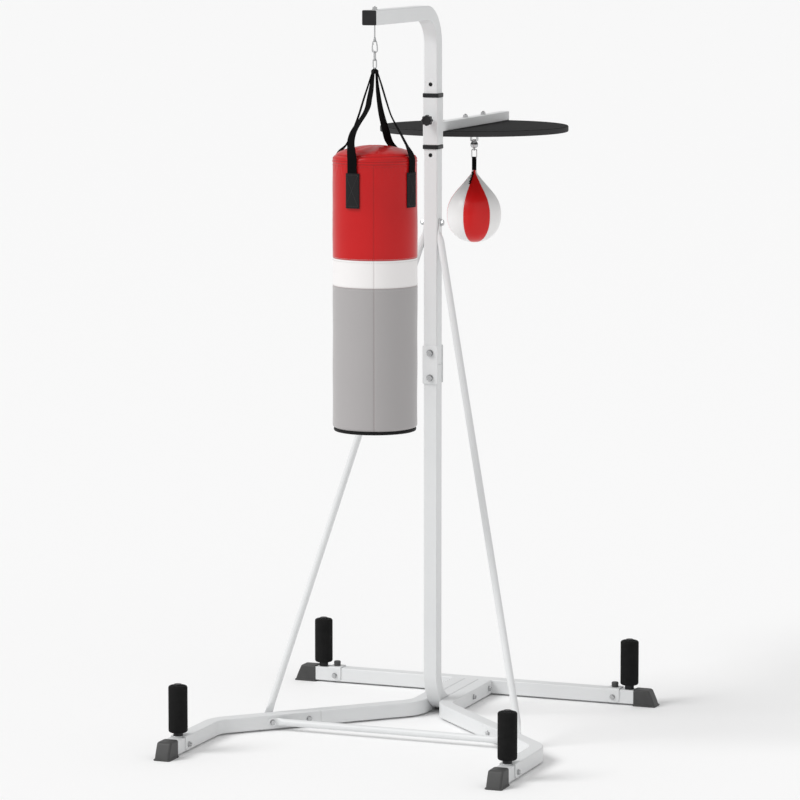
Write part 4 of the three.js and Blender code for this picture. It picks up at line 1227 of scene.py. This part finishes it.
def ballLacing(outline):
    # laces that cross the seam of the front red panel below the neck
    seam = np.radians(ball["firstSeam"])
    heights = np.linspace(lacing["low"], lacing["high"], lacing["rows"])
    order = np.argsort(outline[:, 1])
    radius = np.interp(heights, outline[order, 1], outline[order, 0]) + 0.5 * mm
    outward = np.cos(seam) * xWay + np.sin(seam) * yWay
    places = stage + radius[:, None] * outward + heights[:, None] * zWay
    slant = np.where(np.arange(len(heights)) % 2 == 0, 0.35, -0.35)[:, None]
    ways = np.cross(zWay, outward) + slant * zWay
    skin = capsules(Skin(), places, ways, lacing["long"], lacing["thick"], 10)
    down = places[0] - places[-1]
    capsules(skin, [(places[0] + places[-1]) / 2], [unit(down)], np.linalg.norm(down), lacing["spine"], 10)
    piece(skin, "webbing", "ball", name="ballLacing")


def ballLoop():
    # a flat leather strap bent round the wire: its closed path rises, rounds the wire and comes back down
    low, high = corners("speed_ball_loop")
    wide, thick = high[0] - low[0], 2.2 * mm
    radius = (high[1] - low[1]) / 2 - thick / 2
    foot, neck = low[2] - 7 * mm, low[2] + 6 * mm
    line = np.concatenate([[(radius * 0.8, foot), (radius * 0.95, neck)],
                           arc((0, high[2] - 5 * mm), radius, 0, 180, 24),
                           [(-radius * 0.95, neck), (-radius * 0.8, foot)]])
    path = stage + line[:, :1] * yWay + line[:, 1:] * zWay
    rows = carry(roundedOutline(wide, thick, 0.8 * mm, 3), path, unit(np.gradient(path, axis=0)), xWay)
    piece(Skin().grid(withEnds(rows)), "webbing", "ball", "speed_ball_loop", name="ballLoop")


plate = {"radius": 32 * mm, "thick": 3 * mm, "screws": 4, "screwAt": 23 * mm}
fork = {"half": 7 * mm, "reach": 10.5 * mm, "thick": 3 * mm, "bend": 3 * mm, "corner": 0.9 * mm}


def swivelPlate():
    low, top = (corner[2] for corner in corners("swivel_plate"))
    radius, under = plate["radius"], top - plate["thick"]
    skin = lathe(Skin(), [(0, under), (radius - 3 * mm, under), (radius - 0.6 * mm, under + 0.6 * mm),
                          (radius, under + 1.6 * mm), (radius, top), (0, top)], 72, stage)
    reach, foot, root = fork["reach"], low + fork["thick"] / 2, top - 2 * mm
    line = np.array([(-reach, root), (-reach, foot), (reach, foot), (reach, root)])
    points, headings = bentRun(line[:, :1] * xWay + line[:, 1:] * zWay, fork["bend"], 8)
    section = roundedOutline(fork["thick"], 2 * fork["half"], fork["corner"], 3)
    skin.grid(withEnds(carry(section, points, headings, np.cross(yWay, headings)) + stage))
    head = [(0, 2.9), (3.6, 2.9), (3.4, 4.2), (2.2, 5.0), (0, 5.3)]
    for k in range(plate["screws"]):
        swing = turn * (k + 0.5) / plate["screws"]
        spot = stage + plate["screwAt"] * vector(np.cos(swing), np.sin(swing), 0)
        lathe(skin, [(radius * mm, top - depth * mm) for radius, depth in head], 24, spot)
    piece(skin, "zinc", "platform_carriage", "swivel_plate", sharp=40)


def swivelHead():
    high = corners("swivel_head")[1][2]
    top = corners("swivel_plate")[0][2] - clear
    body = [(3, 1766.2), (8, 1767), (11.6, 1770.4), (12.5, 1775), (11.6, 1781), (8.4, 1785.6)]
    body = throughPoints(body, 28) * mm
    pin = [(3 * mm, top), (3 * mm, high - 3.5 * mm), (5.5 * mm, high - 3.5 * mm), (5.5 * mm, high - 0.6 * mm),
           (4.9 * mm, high), (0, high)]
    skin = lathe(Skin(), np.concatenate([[(0, body[0, 1])], body, [(8 * mm, top)], pin]), 48, stage)
    linkTop = corners("ball_link")[1][2] - 1.8 * mm
    across, up = circle(3.9 * mm, 32).T[:, :, None]
    loop = stage + zWay * (linkTop + 0.2 * mm) + across * yWay + up * zWay
    wireRing(skin, (loop, xWay), 3.2 * mm)
    neck, seat = linkTop + 4 * mm, body[0, 1] + mm
    lathe(skin, [(0, neck), (2.6 * mm, neck), (3.4 * mm, seat), (0, seat)], 24, stage)
    piece(skin, "zinc", "swivel", "swivel_head", sharp=40)


def ballLink():
    low, high = corners("ball_link")
    wire, corner = 3.5 * mm, 6.2 * mm
    outline = roundedOutline(high[0] - low[0] - wire, high[2] - low[2] - wire, corner, 10)
    loop = outline[:, :1] * xWay + (outline[:, 1:] + (low[2] + high[2]) / 2) * zWay + stage
    piece(wireRing(Skin(), (loop, yWay), wire), "zinc", "ball_hook", "ball_link")


print("speed ball and swivel")
ballLacing(speedBall())
ballLoop()
swivelPlate()
swivelHead()
ballLink()


# ---- punching bag ----

def azimuth(degrees):
    # a level direction, turned from the front towards +X
    return vector(np.sin(np.radians(degrees)), -np.cos(np.radians(degrees)), 0)


def bagRows(draw=0.0):
    # height by height: an upright wall and a rounded shoulder, then a low dome
    foot = bag["footRadius"] * mm
    low = corners("punching_bag")[0][2] + foot
    wallRadius = bag["shoulder"][0][0]
    heights = np.linspace(low, bag["wallTop"] * mm, 170)
    wall = np.stack([np.full(len(heights), wallRadius * mm), heights], axis=-1)
    rim = arc((wallRadius * mm - foot, low), foot, -90, 0, 7)[:-1]
    dome = throughPoints([(wallRadius, bag["wallTop"])] + bag["shoulder"], 60)[1:] * mm
    outline = np.concatenate([rim, wall, dome])
    outline[-1, 0] = 0
    return outline - np.array([draw, 0])


# depths, reaches and heights of the hide's seams and folds, in millimetres
fold = {
    "seam": 1.7, "seamReach": 1.5, "side": 1.2, "sideReach": 1.4, "slow": 1.1, "crease": 0.8,
    "creaseAt": 1763, "creaseReach": 22, "dent": 0.9, "domeAt": 1790, "domeEase": 10, "sag": 0.8,
    "tight": 1.2, "tightAt": 1700,
}


def bagShape(outline):
    # the filled hide: seams pull in, the panels between them stay tight, and the dome creases softly
    radius, height = outline[:, :1], outline[:, 1:]
    angle = angles(bag["columns"])
    swing = angle[None]
    seams = sum(fold["seam"] * mm * np.exp(-((height - seam * mm) / (fold["seamReach"] * mm)) ** 2)
                for seam in bag["seams"])
    sideAngle = np.arctan2(*azimuth(bag["sideSeam"])[1::-1])
    apart = np.abs((angle - sideAngle + np.pi) % turn - np.pi)[None] * radius
    ledge = 1 - ease((height - (bag["wallTop"] - 3) * mm) / (6 * mm))
    sideSeam = fold["side"] * mm * np.exp(-(apart / (fold["sideReach"] * mm)) ** 2) * ledge
    slow = fold["slow"] * mm * (1 + np.sin(2 * swing + 5 * height) * np.cos(3 * swing - 3 * height)) / 2
    creaseZone = np.exp(-((height - fold["creaseAt"] * mm) / (fold["creaseReach"] * mm)) ** 2)
    ripple = np.sin(19 * swing + 140 * height * np.sin(2 * swing))
    crease = fold["crease"] * mm * creaseZone * (1 + ripple) / 2
    onDome = ease((height - fold["domeAt"] * mm) / (fold["domeEase"] * mm))
    dents = fold["dent"] * mm * onDome * (1 + np.sin(11 * swing + 60 * radius)) / 2
    sag = fold["sag"] * mm * (1 + np.sin(31 * height)) / 2
    belowLid = 1 - ease((height - bag["wallTop"] * mm) / (4 * mm))
    tight = fold["tight"] * mm * belowLid * ease((height - fold["tightAt"] * mm) / (60 * mm))
    across = np.clip(radius - (seams + sideSeam + slow + crease + sag + tight), 0, None) * (radius > 0)
    return across, height - dents * (radius > 0) - 0.6 * seams * onDome, angle


def stuffed(radius, heights, angle):
    # a turned form about the hanging axis, closed at its foot
    rows = turned(radius, heights, angle, hang)
    return Skin().grid(np.concatenate([np.broadcast_to(hang + zWay * rows[0, 0, 2], rows[:1].shape), rows]))


def punchingBag():
    piece(stuffed(*bagShape(bagRows())), "bag", "bag", "punching_bag", sharp=60)


stitch = {"pitch": 6.5 * mm, "long": 4.2 * mm, "thick": 0.55 * mm, "proud": 0.15 * mm}
stitchRows = {"lidStitches": (1772, 1794), "bandStitches": (1406, 1416, 1489, 1499)}


def bagStitches(name, finish):
    # running stitches above and below each level seam
    outline = bagRows()
    across, lift, angle = bagShape(outline)
    skin = Skin()
    for height in stitchRows[name]:
        row = np.argmin(np.abs(outline[:, 1] - height * mm))
        where = angles(int(turn * outline[row, 0] / stitch["pitch"]))
        radius = np.interp(where, angle, across[row], period=turn) + stitch["proud"]
        rise = np.interp(where, angle, lift[row], period=turn)
        places = hang + np.stack([radius * np.cos(where), radius * np.sin(where), rise], axis=-1)
        ways = np.stack([-np.sin(where), np.cos(where), np.zeros_like(where)], axis=-1)
        capsules(skin, places, ways, stitch["long"], stitch["thick"])
    piece(skin, finish, "bag", name=name)


def bagFilling():
    low, high = (corner[2] for corner in corners("bag_filling"))
    outline = np.concatenate([bagRows(5 * mm)[::4], [(0, high)]])
    radius = np.clip(outline[:, :1], 0, None)
    height = np.clip(outline[:, 1:], low, high - 4 * mm)
    angle = angles(96)
    lump = np.sin(7 * angle[None] + 90 * height) * np.sin(5 * angle[None] - 70 * height)
    across = np.clip(radius - 1.5 * mm * (1 + lump) / 2, 0, None) * (radius > 0)
    made = piece(stuffed(across, height, angle), "filling", "bag", "bag_filling", sharp=60)


def bagBase():
    low, high = corners("bag_base")
    radius, foot, top = (high[0] - low[0]) / 2, low[2], high[2]
    profile = np.concatenate([
        [(0, foot + 2 * mm), (radius * 0.5, foot + 1.4 * mm), (radius - 14 * mm, foot)],
        arc((radius - 4 * mm, foot + 4 * mm), 4 * mm, -90, 0, 6),
        [(radius, top - 3 * mm), (radius - 0.7 * mm, top - 2.4 * mm), (radius - 0.7 * mm, top), (0, top)]])
    piece(lathe(Skin(), profile, 160, hang), "base", "bag", "bag_base")


strap = {
    "wide": 32 * mm, "thick": 2.4 * mm, "low": 1650 * mm, "wall": 129.6 * mm, "shoulder": 1792 * mm,
    "gather": 0.45, "cup": 1.8 * mm,
}
ringEnd = (4, 2056)
steepFall = [ringEnd, (20, 1990), (29, 1966), (37, 1943), (56, 1921), (92, 1893), (117, 1869),
             (128, 1848), (130, 1822)]
rightFall = [ringEnd, (20, 2014), (37, 1966), (56, 1918), (78, 1882), (98, 1851), (117, 1822), (127, 1804)]
rearFall = [ringEnd, (18, 1976), (33, 1927), (57, 1877), (80, 1837), (106, 1817), (125, 1803)]
leftFall = [ringEnd, (19, 2014), (37, 1966), (54, 1918), (76, 1868), (98, 1830), (122, 1806)]
strapRuns = [
    {"name": "strapFront", "azimuth": -10, "fall": steepFall, "roll": (0, 16, 27, 34), "drift": -4},
    {"name": "strapRight", "azimuth": 80, "fall": rightFall, "roll": (0, -18, -27, -24), "drift": 0},
    {"name": "strapRear", "azimuth": 170, "fall": rearFall, "roll": (0, 8, 26, 44), "drift": 0},
    {"name": "strapLeft", "azimuth": 260, "fall": leftFall, "roll": (0, -20, -22, -24), "drift": 0},
]


def strapLine(run):
    # a strap's distance from the hanging axis and height: its fall from the ring, then down the wall
    wall = strap["wall"] / mm
    down = [(wall, height) for height in np.linspace(strap["shoulder"], strap["low"] + 4 * mm, 6) / mm]
    return throughPoints(run["fall"] + down, 150) * mm


def strapSection():
    # the webbing's flat outline, with points along its faces so that it can cup
    rounded = roundedOutline(strap["wide"], strap["thick"], 0.9 * mm, 3)
    spread = np.linspace(-0.5, 0.5, 13)[1:-1] * (strap["wide"] - 2 * mm)
    rim = np.full(len(spread), strap["thick"] / 2)
    quarter = len(rounded) // 4
    upper, lower = np.stack([spread[::-1], rim], axis=-1), np.stack([spread, -rim], axis=-1)
    first, middles, last = rounded[:quarter], rounded[quarter:3 * quarter], rounded[3 * quarter:]
    return np.concatenate([first, upper, middles, lower, last])


def bagStrap(run, node=None):
    # a strap turns about its own line as it rises, cups slightly, and narrows where it is gathered
    section = strapSection()
    hollow = (section[:, 0] / strap["wide"] * 2) ** 2
    outward, sideWay = azimuth(run["azimuth"]), azimuth(run["azimuth"] + 90)
    line = strapLine(run)
    share = np.clip((line[:, 1] - strap["shoulder"]) / (ringEnd[1] * mm - strap["shoulder"]), 0, 1)
    drift = run["drift"] * mm * np.sin(np.pi * np.clip(share / 0.6, 0, 1))
    path = hang + line[:, :1] * outward + line[:, 1:] * zWay + drift[:, None] * sideWay
    ways = unit(np.gradient(path, axis=0))
    roll = np.radians(np.interp(ease(share), (0, 0.06, 0.5, 1), run["roll"]))[:, None]
    flat = unit(sideWay - ways * (ways @ sideWay)[:, None])
    side = flat * np.cos(roll) + np.cross(ways, flat) * np.sin(roll)
    narrow = 1 - strap["gather"] * ease((share - 0.7) / 0.3)
    sections = section[None] * np.stack([narrow, np.ones_like(narrow)], axis=-1)[:, None]
    sections[..., 1] += hollow * (strap["cup"] * ease(share * 3))[:, None]
    piece(Skin().grid(withEnds(carry(sections, path, ways, side))), "webbing", "bag", node, name=run["name"])


patch = {
    "wide": 48 * mm, "top": 1754 * mm, "thick": 1.8 * mm, "fall": 3.4 * mm, "fallFrom": 0.78,
    "groove": 0.5 * mm, "grooveAt": 0.88, "grooveReach": 0.03, "rows": 40, "columns": 25,
    "stitchPitch": 5.2 * mm,
    "stitchLong": 3.6 * mm, "stitchThick": 0.45 * mm, "stitchAt": 0.86,
}


def patchFace(share):
    # a patch's outer radius: thick in the middle, falling to the hide at its sides
    fall = ease((np.abs(share) - patch["fallFrom"]) / (1 - patch["fallFrom"]))
    return strap["wall"] + strap["thick"] / 2 + patch["thick"] - patch["fall"] * fall


def onBag(radius, swing, height):
    return hang + np.stack([radius * np.sin(swing), -radius * np.cos(swing), height], axis=-1)


def bagPatch(run, threads):
    # a sewn patch over a strap's lower end, with a stitched border and a cross
    wall, reach, facing = strap["wall"] + strap["thick"] / 2, patch["wide"] / 2, np.radians(run["azimuth"])
    share = np.linspace(-1, 1, patch["columns"])
    raised = patchFace(share) - patch["groove"] * np.exp(
        -((np.abs(share) - patch["grooveAt"]) / patch["grooveReach"]) ** 2)
    heights = strap["low"] - mm + (patch["top"] - strap["low"]) * np.linspace(0, 1, patch["rows"])
    height, raised = np.meshgrid(heights, raised, indexing="ij")
    swing = np.broadcast_to(facing + share * reach / wall, height.shape)
    under = np.full_like(raised, (bag["shoulder"][0][0] - 0.6) * mm)
    ring = np.concatenate([onBag(raised, swing, height), onBag(under, swing, height)[:, ::-1]], axis=1)
    name = run["name"].replace("strap", "patch")
    piece(Skin().grid(withEnds(ring)), "patch", "bag", name=name, sharp=50)
    edge, low, top = patch["stitchAt"] * reach, strap["low"] + 5 * mm, patch["top"] - 6 * mm
    box = np.array([(-edge, low), (edge, low), (edge, top), (-edge, top), (-edge, low), (edge, top),
                    (edge, low), (-edge, top)])
    for start, end in zip(box[:-1], box[1:]):
        count = max(int(np.linalg.norm(end - start) / patch["stitchPitch"]), 2)
        spots = start + (end - start) * ((np.arange(count) + 0.5) / count)[:, None]
        swing = facing + spots[:, 0] / wall
        places = onBag(patchFace(spots[:, 0] / reach) + stitch["proud"], swing, spots[:, 1])
        sideways = np.stack([np.cos(swing), np.sin(swing), np.zeros_like(swing)], axis=-1)
        heading = unit(end - start)
        ways = sideways * heading[0] + zWay * heading[1]
        capsules(threads, places, ways, patch["stitchLong"], patch["stitchThick"])


keeper = {
    "wide": 21 * mm, "deep": 17 * mm, "corner": 6 * mm, "foot": 15 * mm, "top": 3.2 * mm, "edge": 3.5 * mm}


def strapKeeper():
    # the straps' folded ends, sewn together round the ring
    low = corners("bag_ring")[0][2]

    def outline(inset):
        wide, deep = keeper["wide"] - 2 * inset, keeper["deep"] - 2 * inset
        return roundedOutline(wide, deep, keeper["corner"] - inset / 2)

    skin = slab(outline, low - keeper["foot"], low - keeper["top"], keeper["edge"], hang, steps=6)
    piece(skin, "patch", "bag", name="strapKeeper")


print("punching bag")
punchingBag()
bagStitches("lidStitches", "redThread")
bagStitches("bandStitches", "paleThread")
bagFilling()
bagBase()
bagStrap(strapRuns[0], "bag_harness")
for run in strapRuns[1:]:
    bagStrap(run)
threads = Skin()
for run in strapRuns:
    bagPatch(run, threads)
piece(threads, "darkThread", "bag", name="patchStitches")
strapKeeper()
